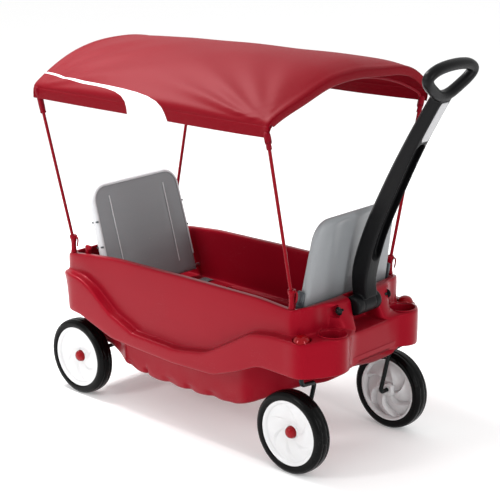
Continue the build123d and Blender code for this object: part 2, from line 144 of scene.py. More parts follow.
def grid(rows, columns, ring=False, loop=False, start=0):
    """Quads between rows of points; ring closes each row, loop joins the last row to the first."""
    faces = []
    for r in range(rows if loop else rows - 1):
        low = start + r * columns
        high = start + (r + 1) % rows * columns
        for c in range(columns if ring else columns - 1):
            n = (c + 1) % columns
            faces.append((low + c, low + n, high + n, high + c))
    return faces


def add_piece(name, points, faces, material):
    """A smooth mesh piece from points in millimetres, its faces turned outwards."""
    mesh = bpy.data.meshes.new(name)
    mesh.from_pydata([at(*point) for point in points], [], faces)
    work = bmesh.new()
    work.from_mesh(mesh)
    bmesh.ops.remove_doubles(work, verts=work.verts, dist=0.02 * MM)
    bmesh.ops.recalc_face_normals(work, faces=work.faces)
    work.to_mesh(mesh)
    work.free()
    piece = bpy.data.objects.new(name, mesh)
    bpy.context.scene.collection.objects.link(piece)
    smooth_all(piece)
    coat(piece, material)
    return piece


def smooth_all(piece):
    piece.data.polygons.foreach_set("use_smooth", [True] * len(piece.data.polygons))


def coat(piece, material):
    """Gives a piece one material all over."""
    piece.data.materials.clear()
    piece.data.materials.append(material)


def modify(piece, kind, **settings):
    step = piece.modifiers.new(kind.lower(), kind)
    for key, value in settings.items():
        setattr(step, key, value)
    return step


def apply_modifiers(piece):
    graph = bpy.context.evaluated_depsgraph_get()
    mesh = bpy.data.meshes.new_from_object(piece.evaluated_get(graph))
    piece.modifiers.clear()
    piece.data = mesh


def subdivide(piece, levels):
    modify(piece, "SUBSURF", levels=levels, render_levels=levels)
    apply_modifiers(piece)
    smooth_all(piece)


def settle(piece, body, finish, *nodes):
    """Puts a finished piece on its body and hides the nodes it stands for; the finish argument is not used.
    """
    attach(piece, body)
    if nodes:
        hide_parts(*nodes)
    return piece


def lathe(outline, place, segments=48):
    """Points and quads of an outline of radius, height pairs turned about place's axis."""
    points = []
    for radius, height in outline:
        for i in range(segments):
            turn = 2 * math.pi * i / segments
            points.append(place @ Vector((radius * math.cos(turn), radius * math.sin(turn), height)))
    return points, grid(len(outline), segments, ring=True)


def pointing(origin, axis):
    """A place whose own Z runs along axis."""
    return Matrix.Translation(Vector(origin)) @ Vector(axis).to_track_quat("Z", "Y").to_matrix().to_4x4()


def tube(path, radius, sides=12, closed=False):
    """Points and quads of a round tube along a path; radius is a number or one per point."""
    points = []
    count = len(path)
    normal = None
    for i, point in enumerate(path):
        ahead = path[(i + 1) % count] if closed or i < count - 1 else path[i]
        behind = path[i - 1] if closed or i > 0 else path[i]
        along = (ahead - behind).normalized()
        normal = along.orthogonal() if normal is None else normal - along * normal.dot(along)
        normal.normalize()
        other = along.cross(normal)
        size = radius[i] if isinstance(radius, (list, tuple)) else radius
        for k in range(sides):
            turn = 2 * math.pi * k / sides
            points.append(point + (normal * math.cos(turn) + other * math.sin(turn)) * size)
    faces = grid(count, sides, ring=True, loop=closed)
    if not closed:
        faces += [tuple(range(sides)), tuple(range((count - 1) * sides, count * sides))]
    return points, faces


def joined(*shapes):
    """Several lots of points and faces as one."""
    points, faces = [], []
    for more_points, more_faces in shapes:
        faces += [tuple(i + len(points) for i in face) for face in more_faces]
        points += more_points
    return points, faces


def block(place, size, softness):
    """Points and quads of a box with rounded edges, centred on place."""
    points, faces = [], []
    half = [s / 2 for s in size]
    cuts = [(-h, -h + softness * 0.3, -h + softness, 0, h - softness, h - softness * 0.3, h) for h in half]
    index = {}
    for axis in range(3):
        u, v = (axis + 1) % 3, (axis + 2) % 3
        for end in (0, 6):
            for i in range(6):
                for j in range(6):
                    face = []
                    for di, dj in ((0, 0), (1, 0), (1, 1), (0, 1)):
                        key = [0, 0, 0]
                        key[axis], key[u], key[v] = end, i + di, j + dj
                        key = tuple(key)
                        if key not in index:
                            index[key] = len(points)
                            corner = Vector([cuts[a][key[a]] for a in range(3)])
                            core = Vector([
                                max(-half[a] + softness, min(half[a] - softness, corner[a])) for a in range(3)
                            ])
                            out = corner - core
                            reach = min(out.length, softness)
                            points.append(place @ (core + out.normalized() * reach if out.length else corner))
                        face.append(index[key])
                    faces.append(tuple(face))
    return points, faces


# --- Shader groups --------------------------------------------------------------------

COLOUR, NUMBER, VECTOR = "NodeSocketColor", "NodeSocketFloat", "NodeSocketVector"


class Effect:
    """A shader node group with named inputs and outputs."""

    def __init__(self, name, inputs, outputs):
        self.tree = bpy.data.node_groups.new(name, "ShaderNodeTree")
        for label, kind, value in inputs:
            socket = self.tree.interface.new_socket(label, in_out="INPUT", socket_type=kind)
            socket.default_value = value
        for label, kind in outputs:
            self.tree.interface.new_socket(label, in_out="OUTPUT", socket_type=kind)
        self.enter = self.tree.nodes.new("NodeGroupInput")
        self.leave = self.tree.nodes.new("NodeGroupOutput")

    def node(self, kind, links=None, **settings):
        return add_node(self.tree, kind, links, **settings)

    def take(self, label):
        return self.enter.outputs[label]

    def give(self, label, socket):
        self.tree.links.new(socket, self.leave.inputs[label])


def add_node(tree, kind, links=None, **settings):
    """A node with its settings; links maps an input's name or number to a socket or a value."""
    node = tree.nodes.new(kind)
    for key, value in settings.items():
        setattr(node, key, value)
    for key, value in (links or {}).items():
        if isinstance(value, bpy.types.NodeSocket):
            tree.links.new(value, node.inputs[key])
        else:
            node.inputs[key].default_value = value
    return node


def maths(tree, operation, a, b=0.0, clamp=False):
    return add_node(tree, "ShaderNodeMath", {0: a, 1: b}, operation=operation, use_clamp=clamp).outputs[0]


def ramp(tree, value, low, high):
    """Value spread from 0 at low to 1 at high, eased."""
    links = {"Value": value, "From Min": low, "From Max": high}
    node = add_node(tree, "ShaderNodeMapRange", links, interpolation_type="SMOOTHSTEP")
    return node.outputs["Result"]


def noise(tree, place, size, detail=3.0, rough=0.55):
    links = {"Vector": place, "Scale": size, "Detail": detail, "Roughness": rough}
    return add_node(tree, "ShaderNodeTexNoise", links).outputs["Fac"]


def mix_colour(tree, amount, a, b, blend="MIX"):
    node = tree.nodes.new("ShaderNodeMix")
    node.data_type = "RGBA"
    node.blend_type = blend
    for index, value in ((0, amount), (6, a), (7, b)):
        if isinstance(value, bpy.types.NodeSocket):
            tree.links.new(value, node.inputs[index])
        else:
            node.inputs[index].default_value = value
    return node.outputs[2]


def make_mottle():
    """Slow drift of a moulding's colour, with faint flow streaks."""
    effect = Effect(
        "mottle",
        [("Color", COLOUR, (1, 1, 1, 1)), ("Amount", NUMBER, 0.1), ("Size", NUMBER, 6.0)],
        [("Color", COLOUR)],
    )
    tree = effect.tree
    place = effect.node("ShaderNodeTexCoord").outputs["Object"]
    slow = noise(tree, place, effect.take("Size"), 2.0)
    stretch = effect.node("ShaderNodeMapping", {"Vector": place, "Scale": (1.5, 1.5, 9.0)}).outputs[0]
    streak = noise(tree, stretch, effect.take("Size"), 4.0)
    both = maths(tree, "ADD", maths(tree, "MULTIPLY", slow, 0.6), maths(tree, "MULTIPLY", streak, 0.4))
    swing = maths(tree, "MULTIPLY", maths(tree, "SUBTRACT", both, 0.5), effect.take("Amount"))
    value = maths(tree, "ADD", swing, 1.0)
    shaded = effect.node("ShaderNodeHueSaturation", {"Color": effect.take("Color"), "Value": value})
    effect.give("Color", shaded.outputs["Color"])
    return effect.tree


def make_grain():
    """Fine leathery grain of a textured mould."""
    effect = Effect("moulded_grain", [("Size", NUMBER, 900.0)], [("Height", NUMBER)])
    place = effect.node("ShaderNodeTexCoord").outputs["Object"]
    cells = effect.node("ShaderNodeTexVoronoi", {"Vector": place, "Scale": effect.take("Size")})
    cells.feature = "SMOOTH_F1"
    soft = noise(effect.tree, place, effect.take("Size"), 2.0)
    effect.give("Height", maths(effect.tree, "ADD", cells.outputs["Distance"], soft))
    return effect.tree


# Two families of scratches: how far they are drawn out, their turn, and the least noise that shows
SCRATCH_STROKES = (((20, 20, 260), (0.4, 0.2, 0.1), 0.62), ((210, 30, 30), (0.1, 0.9, 0.5), 0.64))


def make_scuffs():
    """Fine scratches and a film of dust that gathers low down and on upward faces."""
    effect = Effect(
        "scuffs",
        [
            ("Color", COLOUR, (1, 1, 1, 1)),
            ("Dust color", COLOUR, (0.55, 0.5, 0.45, 1)),
            ("Roughness", NUMBER, 0.4),
            ("Scratches", NUMBER, 0.3),
            ("Dust", NUMBER, 0.1),
        ],
        [("Color", COLOUR), ("Roughness", NUMBER)],
    )
    tree = effect.tree
    place = effect.node("ShaderNodeTexCoord").outputs["Object"]
    strokes = []
    for scale, turn, least in SCRATCH_STROKES:
        drawn = effect.node("ShaderNodeMapping", {"Vector": place, "Scale": scale, "Rotation": turn})
        strokes.append(ramp(tree, noise(tree, drawn.outputs[0], 3.0, 3.0), least, least + 0.1))
    patches = ramp(tree, noise(tree, place, 7.0, 2.0), 0.5, 0.7)
    marks = maths(tree, "MULTIPLY", maths(tree, "MAXIMUM", *strokes), patches)
    marks = maths(tree, "MULTIPLY", marks, effect.take("Scratches"))
    height = effect.node("ShaderNodeSeparateXYZ", {0: place}).outputs[2]
    facing = effect.node("ShaderNodeSeparateXYZ", {0: effect.node("ShaderNodeNewGeometry").outputs["Normal"]})
    up = ramp(tree, facing.outputs[2], 0.3, 1.0)
    low = maths(tree, "SUBTRACT", 1.0, ramp(tree, height, 0.05, 0.3))
    film = maths(tree, "MAXIMUM", maths(tree, "MULTIPLY", up, 0.5), low)
    film = maths(tree, "MULTIPLY", film, ramp(tree, noise(tree, place, 24.0, 5.0), 0.35, 0.75))
    film = maths(tree, "MULTIPLY", film, effect.take("Dust"), clamp=True)
    dusty = mix_colour(tree, film, effect.take("Color"), effect.take("Dust color"))
    lighter = mix_colour(tree, maths(tree, "MULTIPLY", marks, 0.35), dusty, (0.9, 0.9, 0.9, 1))
    effect.give("Color", lighter)
    rough = maths(tree, "ADD", effect.take("Roughness"), maths(tree, "MULTIPLY", film, 0.6))
    rough = maths(tree, "ADD", rough, maths(tree, "MULTIPLY", marks, 0.4), clamp=True)
    effect.give("Roughness", rough)
    return effect.tree


FULL_TURN = 6.2832


def make_weave():
    """Plain weave: threads over and under, from a flat cloth place in metres. Its Shade output is painted
    shade, darker in the hollows between threads, mixed with random slub tone.
    """
    effect = Effect(
        "plain_weave",
        [("Vector", VECTOR, (0, 0, 0)), ("Threads", NUMBER, 1500.0)],
        [("Height", NUMBER), ("Shade", NUMBER)],
    )
    tree = effect.tree
    split = effect.node("ShaderNodeSeparateXYZ", {0: effect.take("Vector")})
    waves = []
    for axis in (0, 1):
        threads = maths(tree, "MULTIPLY", split.outputs[axis], effect.take("Threads"))
        waves.append(maths(tree, "SINE", maths(tree, "MULTIPLY", threads, FULL_TURN)))
    over = maths(tree, "MULTIPLY", waves[0], waves[1])
    height = maths(tree, "ADD", maths(tree, "MULTIPLY", over, 0.5), 0.5)
    slub = noise(tree, effect.take("Vector"), 60.0, 4.0)
    effect.give("Height", height)
    # Painted shade: the colour follows thread height, darker in the hollows between threads, mixed with
    # random slub tone
    shade = maths(tree, "ADD", maths(tree, "MULTIPLY", height, 0.35), maths(tree, "MULTIPLY", slub, 0.65))
    effect.give("Shade", shade)
    return effect.tree


MOTTLE, GRAIN, SCUFFS, WEAVE = make_mottle(), make_grain(), make_scuffs(), make_weave()


def start_material(name, **fixed):
    """A material with a Principled shader; fixed sets the sockets that are the same all over."""
    material = bpy.data.materials.new(name)
    material.use_nodes = True
    shader = material.node_tree.nodes["Principled BSDF"]
    for label, value in fixed.items():
        shader.inputs[label.replace("_", " ")].default_value = value
    return material, material.node_tree, shader


def use(tree, group, **links):
    node = add_node(tree, "ShaderNodeGroup")
    node.node_tree = group
    for label, value in links.items():
        label = label.replace("_", " ")
        if isinstance(value, bpy.types.NodeSocket):
            tree.links.new(value, node.inputs[label])
        else:
            node.inputs[label].default_value = value
    return node


def raise_bump(tree, shader, height, depth):
    bump = add_node(tree, "ShaderNodeBump", {"Height": height, "Strength": 1.0, "Distance": depth})
    tree.links.new(bump.outputs[0], shader.inputs["Normal"])


def wear(tree, shader, colour, roughness, scratches, dust):
    """Scuffs and dust over a colour, joined to the shader."""
    worn = use(tree, SCUFFS, Color=colour, Roughness=roughness, Scratches=scratches, Dust=dust)
    tree.links.new(worn.outputs["Color"], shader.inputs["Base Color"])
    tree.links.new(worn.outputs["Roughness"], shader.inputs["Roughness"])


def plastic(
    name, colour, roughness, mottling=0.12, grain=900.0, depth=0.00006, scratches=0.2, dust=0.1, **fixed
):
    """A moulded or painted surface: drifting colour, scuffs and a fine grain."""
    material, tree, shader = start_material(name, **fixed)
    drift = use(tree, MOTTLE, Color=(*colour, 1), Amount=mottling, Size=5.0)
    wear(tree, shader, drift.outputs[0], roughness, scratches, dust)
    raise_bump(tree, shader, use(tree, GRAIN, Size=grain).outputs[0], depth)
    return material


def cloth_place(tree):
    return add_node(tree, "ShaderNodeUVMap", uv_map="cloth").outputs[0]


# A float curve holds values from 0 to 1, so heights on the cloth are spread over that range
CURVE_GAIN, CURVE_LIFT = 4.0, 0.2


def below_curve(tree, along, height, points, reach):
    """1 where height is under a line of points, each running from 0 to reach along the cloth."""
    line = add_node(tree, "ShaderNodeFloatCurve", {"Value": maths(tree, "DIVIDE", along, reach)})
    knots = line.mapping.curves[0].points
    while len(knots) < len(points):
        knots.new(0.5, 0.5)
    for knot, (x, v) in zip(knots, points):
        knot.location = (x / reach, v * CURVE_GAIN + CURVE_LIFT)
        knot.handle_type = "VECTOR"
    line.mapping.update()
    level = maths(tree, "ADD", maths(tree, "MULTIPLY", height, CURVE_GAIN), CURVE_LIFT)
    gap = maths(tree, "SUBTRACT", line.outputs[0], level)
    return ramp(tree, gap, -0.0024, 0.0024)


# Upper and lower edges of the white flash: metres along the cloth from its rear hem, metres up
FLASH_TOP = [
    (0, 0.096), (0.05, 0.0935), (0.12, 0.084), (0.19, 0.0805), (0.24, 0.080), (0.30, 0.0785), (0.36, 0.076),
    (0.42, 0.071), (0.468, 0.063), (0.51, 0.050), (0.532, 0.036), (0.545, 0.021), (0.556, 0.0), (0.57, -0.04),
    (0.92, -0.045),
]
FLASH_BOTTOM = [
    (0, 0.0905), (0.056, 0.0855), (0.128, 0.0765), (0.196, 0.0715), (0.252, 0.0705), (0.30, 0.067),
    (0.34, 0.061), (0.372, 0.050), (0.388, 0.036), (0.396, 0.020), (0.397, 0.0), (0.41, -0.04),
    (0.92, -0.045),
]
STITCH_UP = 0.03


def canopy_cloth(length):
    """Red nylon with a white flash that sweeps up from the side hem to the rear corner."""
    material, tree, shader = start_material("canopy nylon", Specular_IOR_Level=0.22,
                                            Specular_Tint=(0.8, 0.04, 0.07, 1))
    place = cloth_place(tree)
    split = add_node(tree, "ShaderNodeSeparateXYZ", {0: place})
    along, up = split.outputs[0], split.outputs[1]
    inside = below_curve(tree, along, up, FLASH_TOP, length)
    red_patch = below_curve(tree, along, up, FLASH_BOTTOM, length)
    white = maths(tree, "SUBTRACT", inside, red_patch, clamp=True)
    thread = use(tree, WEAVE, Vector=place, Threads=620.0)
    # The weave's Shade paints shade into the hollows between threads, mixed with slub tone, on the red and
    # the white cloth
    red = mix_colour(tree, thread.outputs["Shade"], (0.135, 0.0008, 0.0045, 1), (0.165, 0.0015, 0.007, 1))
    pale = mix_colour(tree, thread.outputs["Shade"], (0.78, 0.76, 0.78, 1), (0.92, 0.90, 0.91, 1))
    colour = mix_colour(tree, white, red, pale)
    hem = maths(tree, "ABSOLUTE", maths(tree, "SUBTRACT", up, STITCH_UP))
    row = maths(tree, "SUBTRACT", 1.0, ramp(tree, hem, 0.0002, 0.0009))
    dash = ramp(tree, maths(tree, "SINE", maths(tree, "MULTIPLY", along, 1400.0)), -0.5, 0.1)
    stitch = maths(tree, "MULTIPLY", row, dash)
    colour = mix_colour(tree, maths(tree, "MULTIPLY", stitch, 0.55), colour, (0.16, 0.01, 0.015, 1))
    wear(tree, shader, colour, 0.55, scratches=0.0, dust=0.0)
    height = maths(tree, "SUBTRACT", maths(tree, "MULTIPLY", thread.outputs["Height"], 0.3), stitch)
    raise_bump(tree, shader, height, 0.0003)
    return material


def woven_strap():
    material, tree, shader = start_material("black webbing", Sheen_Weight=0.3)
    place = cloth_place(tree)
    thread = use(tree, WEAVE, Vector=place, Threads=420.0)
    # The weave's Shade paints shade into the hollows between threads, mixed with slub tone
    colour = mix_colour(tree, thread.outputs["Shade"], (0.008, 0.008, 0.010, 1), (0.05, 0.05, 0.055, 1))
    wear(tree, shader, colour, 0.8, scratches=0.0, dust=0.15)
    raise_bump(tree, shader, thread.outputs["Height"], 0.0005)
    return material


def brushed_label():
    """Blank metallic film, brushed along the handle."""
    material, tree, shader = start_material("label film", Metallic=0.35)
    place = add_node(tree, "ShaderNodeTexCoord").outputs["Object"]
    drawn = add_node(tree, "ShaderNodeMapping", {"Vector": place, "Scale": (30, 1600, 30)}).outputs[0]
    brush = noise(tree, drawn, 1.0, 4.0)
    colour = mix_colour(tree, brush, (0.30, 0.30, 0.31, 1), (0.50, 0.50, 0.51, 1))
    wear(tree, shader, colour, 0.32, scratches=0.4, dust=0.05)
    raise_bump(tree, shader, brush, 0.00003)
    return material


RED_BODY = plastic("red body plastic", (0.205, 0.0022, 0.009), 0.3, mottling=0.14, scratches=0.12, dust=0.02,
                   Specular_IOR_Level=0.34, Specular_Tint=(1, 0.1, 0.14, 1))
RED_FITTING = plastic("red fitting plastic", (0.18, 0.001, 0.006), 0.26, dust=0.0, Specular_IOR_Level=0.34,
                      Specular_Tint=(1, 0.16, 0.2, 1))
RED_CAP = plastic("red cap plastic", (0.20, 0.001, 0.003), 0.12, mottling=0.08, depth=0.00001, scratches=0.1,
                  dust=0.0, Specular_IOR_Level=0.5, Specular_Tint=(1, 0.3, 0.34, 1))
RED_PAINT = plastic("red pole paint", (0.17, 0.001, 0.005), 0.26, grain=500.0, depth=0.00003, dust=0.0,
                    Specular_IOR_Level=0.3, Specular_Tint=(1, 0.16, 0.2, 1))
GREY_SEAT = plastic("grey seat plastic", (0.225, 0.235, 0.245), 0.36, mottling=0.16, scratches=0.3, dust=0.05)
GREY_EDGE = plastic("pale seat edge", (0.56, 0.57, 0.585), 0.40, scratches=0.3, dust=0.1)
DARK_LATCH = plastic("dark latch plastic", (0.045, 0.055, 0.062), 0.38, dust=0.08)
BLACK_HANDLE = plastic("black handle plastic", (0.003, 0.003, 0.0035), 0.36, mottling=0.4, grain=420.0,
                       depth=0.00016, scratches=0.05, dust=0.0, Specular_IOR_Level=0.12)
BLACK_PLASTIC = plastic("black plastic", (0.005, 0.005, 0.006), 0.36, grain=600.0, Specular_IOR_Level=0.2)
BLACK_STEEL = plastic("black rod paint", (0.006, 0.008, 0.008), 0.2, grain=500.0, depth=0.00003, dust=0.0,
                      Specular_IOR_Level=0.14)
TYRE_BLACK = plastic("tyre plastic", (0.002, 0.002, 0.002), 0.2, mottling=0.3, grain=500.0, depth=0.0001,
                     scratches=0.1, dust=0.0, Specular_IOR_Level=0.08)
RIM_WHITE = plastic("white rim plastic", (0.60, 0.60, 0.605), 0.3, mottling=0.04, scratches=0.1, dust=0.02)
ZINC = plastic("zinc plate", (0.55, 0.55, 0.57), 0.3, Metallic=1.0, dust=0.1)
NYLON = plastic("nylon", (0.7, 0.7, 0.68), 0.4)
LABEL = brushed_label()
WEBBING = woven_strap()
CANOPY_LENGTH = 0.92
CANOPY = canopy_cloth(CANOPY_LENGTH)
CANOPY_PLAIN = plastic("canopy sleeve nylon", (0.15, 0.0016, 0.007), 0.6, grain=1100.0, depth=0.0002,
                       scratches=0.0, dust=0.0, Specular_IOR_Level=0.2, Specular_Tint=(1, 0.2, 0.26, 1))


# --- Body -----------------------------------------------------------------------------

RIM_LINE = profile(
    (-501, 412), (-490, 430), (-474, 441), (-444, 441), (-380, 450), (-260, 461), (0, 467), (300, 470),
    (400, 463), (430, 464), (455, 472), (480, 474), (503, 462), (517, 442), (527, 400),
)
BAND_TOP = profile(
    (-521, 366), (-505, 380), (-467, 385), (-405, 385), (-343, 357), (-270, 301), (-167, 261), (15, 257),
    (131, 278), (216, 326), (299, 375), (370, 388), (440, 390),
)
BAND_BOTTOM = profile(
    (-521, 278), (-500, 272), (-399, 266), (-260, 222), (-169, 217), (0, 211), (157, 217), (242, 247),
    (332, 288), (440, 286), (500, 290), (557, 300),
)
HULL_BOTTOM = profile(
    (-490, 200), (-478, 180), (-455, 163), (-345, 160), (-282, 121), (-205, 112), (-134, 106), (24, 108),
    (188, 117), (253, 140), (299, 165), (380, 205), (455, 232), (526, 277), (534, 300),
)
HULL_WIDTH = profile((-300, 172), (-285, 190), (235, 190), (262, 166), (330, 130), (425, 113))
HULL_NOTCHES = (-258, -177, -92, -3, 87)
NOTCH_DEPTH = 9
NOTCH_SPACING = 86
BAND_HALF_WIDTH = 252
SPINE_STRAIGHT = 200

# Front ends of the four outlines seen from above, from the side wall to the centre line:
# tub wall, upper wall with its tower and handle recess, side band with its two pods, hull.
TUB_FRONT = [
    (425, 196), (434, 192), (440, 184), (443, 172), (444, 155), (444, 140), (444, 128), (444, 116),
    (444, 104),
    (444, 90), (444, 72), (444, 62), (444, 56), (444, 50), (444, 44), (444, 22), (444, 0),
]
UPPER_FRONT = [
    (432, 219), (447, 207), (459, 192), (467, 178), (470, 163), (470, 148), (475, 132), (485, 119),
    (500, 109),
    (514, 93), (521, 66), (515, 53), (490, 52), (464, 52), (457, 46), (457, 22), (457, 0),
]
BAND_FRONT = [
    (440, 253), (464, 254), (484, 247), (498, 233), (512, 217), (527, 202), (541, 187), (555, 167),
    (557, 142),
    (547, 120), (536, 106), (529, 80), (528, 66), (528, 54), (528, 44), (528, 22), (528, 0),
]
HULL_FRONT = [
    (440, 111), (460, 108), (478, 107), (492, 107), (504, 106), (514, 106), (522, 105), (529, 104),
    (533, 102),
    (535, 98), (535, 90), (535, 78), (535, 66), (535, 54), (535, 44), (535, 22), (535, 0),
]
SHELF_FRONT = [390, 390, 390, 391, 395, 400, 400, 400, 400, 396, 389, 387, 387, 387, 387, 387, 387]
POD_BASE = [286, 286, 287, 288, 289, 291, 294, 297, 299, 300, 301, 306, 308, 308, 308, 308, 308]


def rear_corner(x, half_width, radius):
    """Plan points from the centre of the tail to the end of its rounded corner."""
    straight = half_width - radius
    points = [(x, 0), (x, straight / 2), (x, straight)]
    for degrees in (22.5, 45, 67.5, 90):
        turn = math.radians(degrees)
        points.append((x + radius * (1 - math.cos(turn)), straight + radius * math.sin(turn)))
    return points


def side_stations():
    """Stations along the straight side, closer together at the notches and the foot well."""
    fine = [n + d for n in HULL_NOTCHES for d in (-8, -6, 6, 8)]
    fine += [side * (WELL_HALF_LENGTH + d) for side in (-1, 1) for d in (8, 2, -2, -8)]
    plain = [x for x in range(-400, 426, 25) if all(abs(x - f) > 9 for f in fine)]
    stations = []
    for x in sorted(set(fine + plain)):
        if not stations or x - stations[-1] > 2:
            stations.append(x)
    return stations


def near(point, other, distance):
    """A plan point moved some way towards another."""
    gap = Vector(other) - Vector(point)
    return Vector(point) + gap * min(distance / max(gap.length, 0.001), 1)


def body_column(tub, upper, band, hull, shelf, base):
    """Points from the middle of the bench, over the rim and the band, to the keel."""
    reach = abs(tub[0])
    spine = tub[0] if reach < SPINE_STRAIGHT else math.copysign(lerp(SPINE_STRAIGHT, reach, 0.88), tub[0])
    middle = (spine, 0)
    in_well = reach < WELL_HALF_LENGTH
    floor = WELL_Z if in_well else BENCH_Z
    rows = []

    def add(plan, z):
        rows.append((plan[0], plan[1], z))

    for t, z in ((0, floor), (0.45, floor), (0.845, floor), (0.885, floor + (4 if in_well else 0))):
        add(Vector(middle).lerp(Vector(tub), t), z)
    add(Vector(middle).lerp(Vector(tub), 0.905), BENCH_Z - (8 if in_well else 0))
    add(Vector(middle).lerp(Vector(tub), 0.93), BENCH_Z)
    add(near(tub, middle, 3), BENCH_Z + 0.5)
    rim = RIM_LINE(tub[0])
    upper_top = (upper[0] - max(upper[0] - 492, 0) * 0.95, upper[1])
    add(tub, BENCH_Z + 6)
    add(tub, lerp(BENCH_Z, rim, 0.5))
    add(tub, rim - 12)
    add(near(tub, upper, 1.5), rim - 3)
    for t in (0.22, 0.42, 0.62, 0.8):
        spot = Vector(tub).lerp(Vector(upper_top), t)
        add(spot, RIM_LINE(spot[0]))
    lip = RIM_LINE(upper_top[0])
    add(near(upper_top, tub, 1.2), lip - 2.5)
    add(upper_top, lip - 9)
    wall = lip - 9 - shelf
    swell = Vector(upper) - Vector(tub)
    swell = swell.normalized() if swell.length else Vector((0, 0))
    bulge = 2.5 if abs(upper[0]) < 430 and upper[1] > 200 else 0
    add(Vector(upper).lerp(Vector(upper_top), 0.66) + swell * bulge, shelf + wall * 0.66)
    add(Vector(upper).lerp(Vector(upper_top), 0.33) + swell * bulge, shelf + wall * 0.33)
    add(Vector(upper) + swell * (bulge * 0.5), shelf + 7)
    add(near(upper, band, 2.5), shelf + 2)
    add(Vector(upper).lerp(Vector(band), 0.5), shelf)
    add(near(band, upper, 6), shelf - 0.6)
    add(near(band, upper, 1.4), shelf - 4)
    add(band, shelf - 12)
    if hull[0] > band[0]:
        add(Vector(band).lerp(Vector(hull), 0.4), lerp(shelf, base, 0.5))
        for t, drop in ((0.75, -14), (0.92, -8), (1, -3), (1, 0), (1, 3)):
            add(Vector(band).lerp(Vector(hull), t), base - drop)
    else:
        add(band, lerp(shelf, base, 0.55))
        add(band, base + 9)
        add(near(band, hull, 1.2), base + 2)
        add(near(band, hull, 5), base)
        add(Vector(band).lerp(Vector(hull), 0.6), base + 4)
        add(near(hull, band, 7), base + 5)
    keel = HULL_BOTTOM(hull[0])
    notch = max(ease((7.5 - abs(hull[0] - n)) / 1.5) for n in HULL_NOTCHES)
    if -300 < hull[0] < 240:
        keel += 1.2 * math.cos((hull[0] - HULL_NOTCHES[0]) * 2 * math.pi / NOTCH_SPACING)
    add(hull, base - 7)
    add(hull, lerp(base, keel, 0.55))
    add(hull, keel + 24)
    add(near(hull, middle, notch * NOTCH_DEPTH), keel + 20 - notch)
    add(near(hull, middle, notch * NOTCH_DEPTH + 1), keel + 7)
    add(near(hull, middle, 6 + notch * NOTCH_DEPTH), keel + notch * 3)
    add(near(hull, middle, 22), keel + notch * 2)
    add(Vector(hull).lerp(Vector(middle), 0.6), keel)
    add(Vector(middle), keel)
    return rows


def body_columns():
    tails = [rear_corner(-470, TUB_HALF_WIDTH, 26), rear_corner(-501, UPPER_HALF_WIDTH, 46)]
    tails += [rear_corner(-520, BAND_HALF_WIDTH, 90), rear_corner(-491, 172, 40)]
    for tub, upper, band, hull in zip(*tails):
        yield body_column(tub, upper, band, hull, BAND_TOP(band[0]), BAND_BOTTOM(band[0]))
    for x in side_stations():
        plans = [(x, y) for y in (TUB_HALF_WIDTH, UPPER_HALF_WIDTH, BAND_HALF_WIDTH, HULL_WIDTH(x))]
        yield body_column(*plans, BAND_TOP(x), BAND_BOTTOM(x))
    for plans in zip(TUB_FRONT, UPPER_FRONT, BAND_FRONT, HULL_FRONT, SHELF_FRONT, POD_BASE):
        yield body_column(*plans)


def cutter(outline, place):
    points, faces = lathe(outline, place, 64)
    return add_piece("cutter", points, faces, RED_BODY)


def make_body():
    columns = list(body_columns())
    points = [point for column in columns for point in column]
    body = add_piece("wagon_body", points, grid(len(columns), len(columns[0])), RED_BODY)
    mirror = modify(body, "MIRROR", use_axis=(False, True, False), use_clip=True)
    mirror.merge_threshold = 0.05 * MM
    apply_modifiers(body)
    subdivide(body, 2)
    cutters = []
    for side in SIDES.values():
        cup = Matrix.Translation((CUP[0], side * CUP[1], CUP_RIM_Z))
        well = [(0, -CUP_DEPTH), (30, -CUP_DEPTH), (34, -CUP_DEPTH + 3), (CUP_RADIUS, -CUP_DEPTH + 9),
                (CUP_RADIUS, -4), (36.5, -1.2), (39.5, 0.8), (39.5, 90), (0, 90)]
        cutters.append(cutter(well, cup))
        pocket = Matrix.Translation((KINGPIN[0], side * KINGPIN[1], CAP_POCKET_Z))
        cutters.append(cutter([(0, 2), (24, 2), (25, 4), (25.4, 11), (27, 14.5), (27, 40), (0, 40)], pocket))
        seat = pointing((HINGE[0], side * BOLT_SEAT_Y, HINGE[1]), (0, side, 0))
        cutters.append(cutter([(0, 0), (16.5, 0), (18, 2), (18, 40), (0, 40)], seat))
    for tool in cutters:
        modify(body, "BOOLEAN", object=tool, operation="DIFFERENCE", solver="EXACT")
    apply_modifiers(body)
    for tool in cutters:
        bpy.data.objects.remove(tool)
    coat(body, RED_BODY)
    smooth_all(body)
    smooth_by_angle(body, 50)
    settle(body, "body", "red_body", "body_shell", "inner_tub")


def smooth_by_angle(piece, degrees):
    """Keeps the crisp edges of a smooth piece crisp."""
    work = bmesh.new()
    work.from_mesh(piece.data)
    limit = math.radians(degrees)
    for edge in work.edges:
        edge.smooth = len(edge.link_faces) == 2 and edge.calc_face_angle(0) < limit
    work.to_mesh(piece.data)
    work.free()


def make_cup_lips():
    """Rounded lip at the mouth of each cup well."""
    shapes = []
    radius, z = CUP_RADIUS + 3.1, CUP_RIM_Z + 0.2
    for side in SIDES.values():
        ring = []
        for step in range(48):
            turn = step * math.pi / 24
            x, y = CUP[0] + radius * math.cos(turn), side * CUP[1] + radius * math.sin(turn)
            ring.append(Vector((x, y, z)))
        shapes.append(tube(ring, 1.9, 10, closed=True))
    points, faces = joined(*shapes)
    settle(add_piece("cup_lips", points, faces, RED_BODY), "body", "red_body")


# --- Seats ----------------------------------------------------------------------------


def edge_steps(size, softness):
    """Places across a face, close together near its two edges."""
    near_edge = [0, 0.12, 0.4, 0.75, 1.1]
    low = [softness * t for t in near_edge]
    inner = [lerp(softness * 1.6, size - softness * 1.6, i / 22) for i in range(23)]
    return low + inner + [size - t for t in reversed(low)]


def seat_width(seat, s):
    return seat["foot"] - seat["taper"] * max(s, 0)


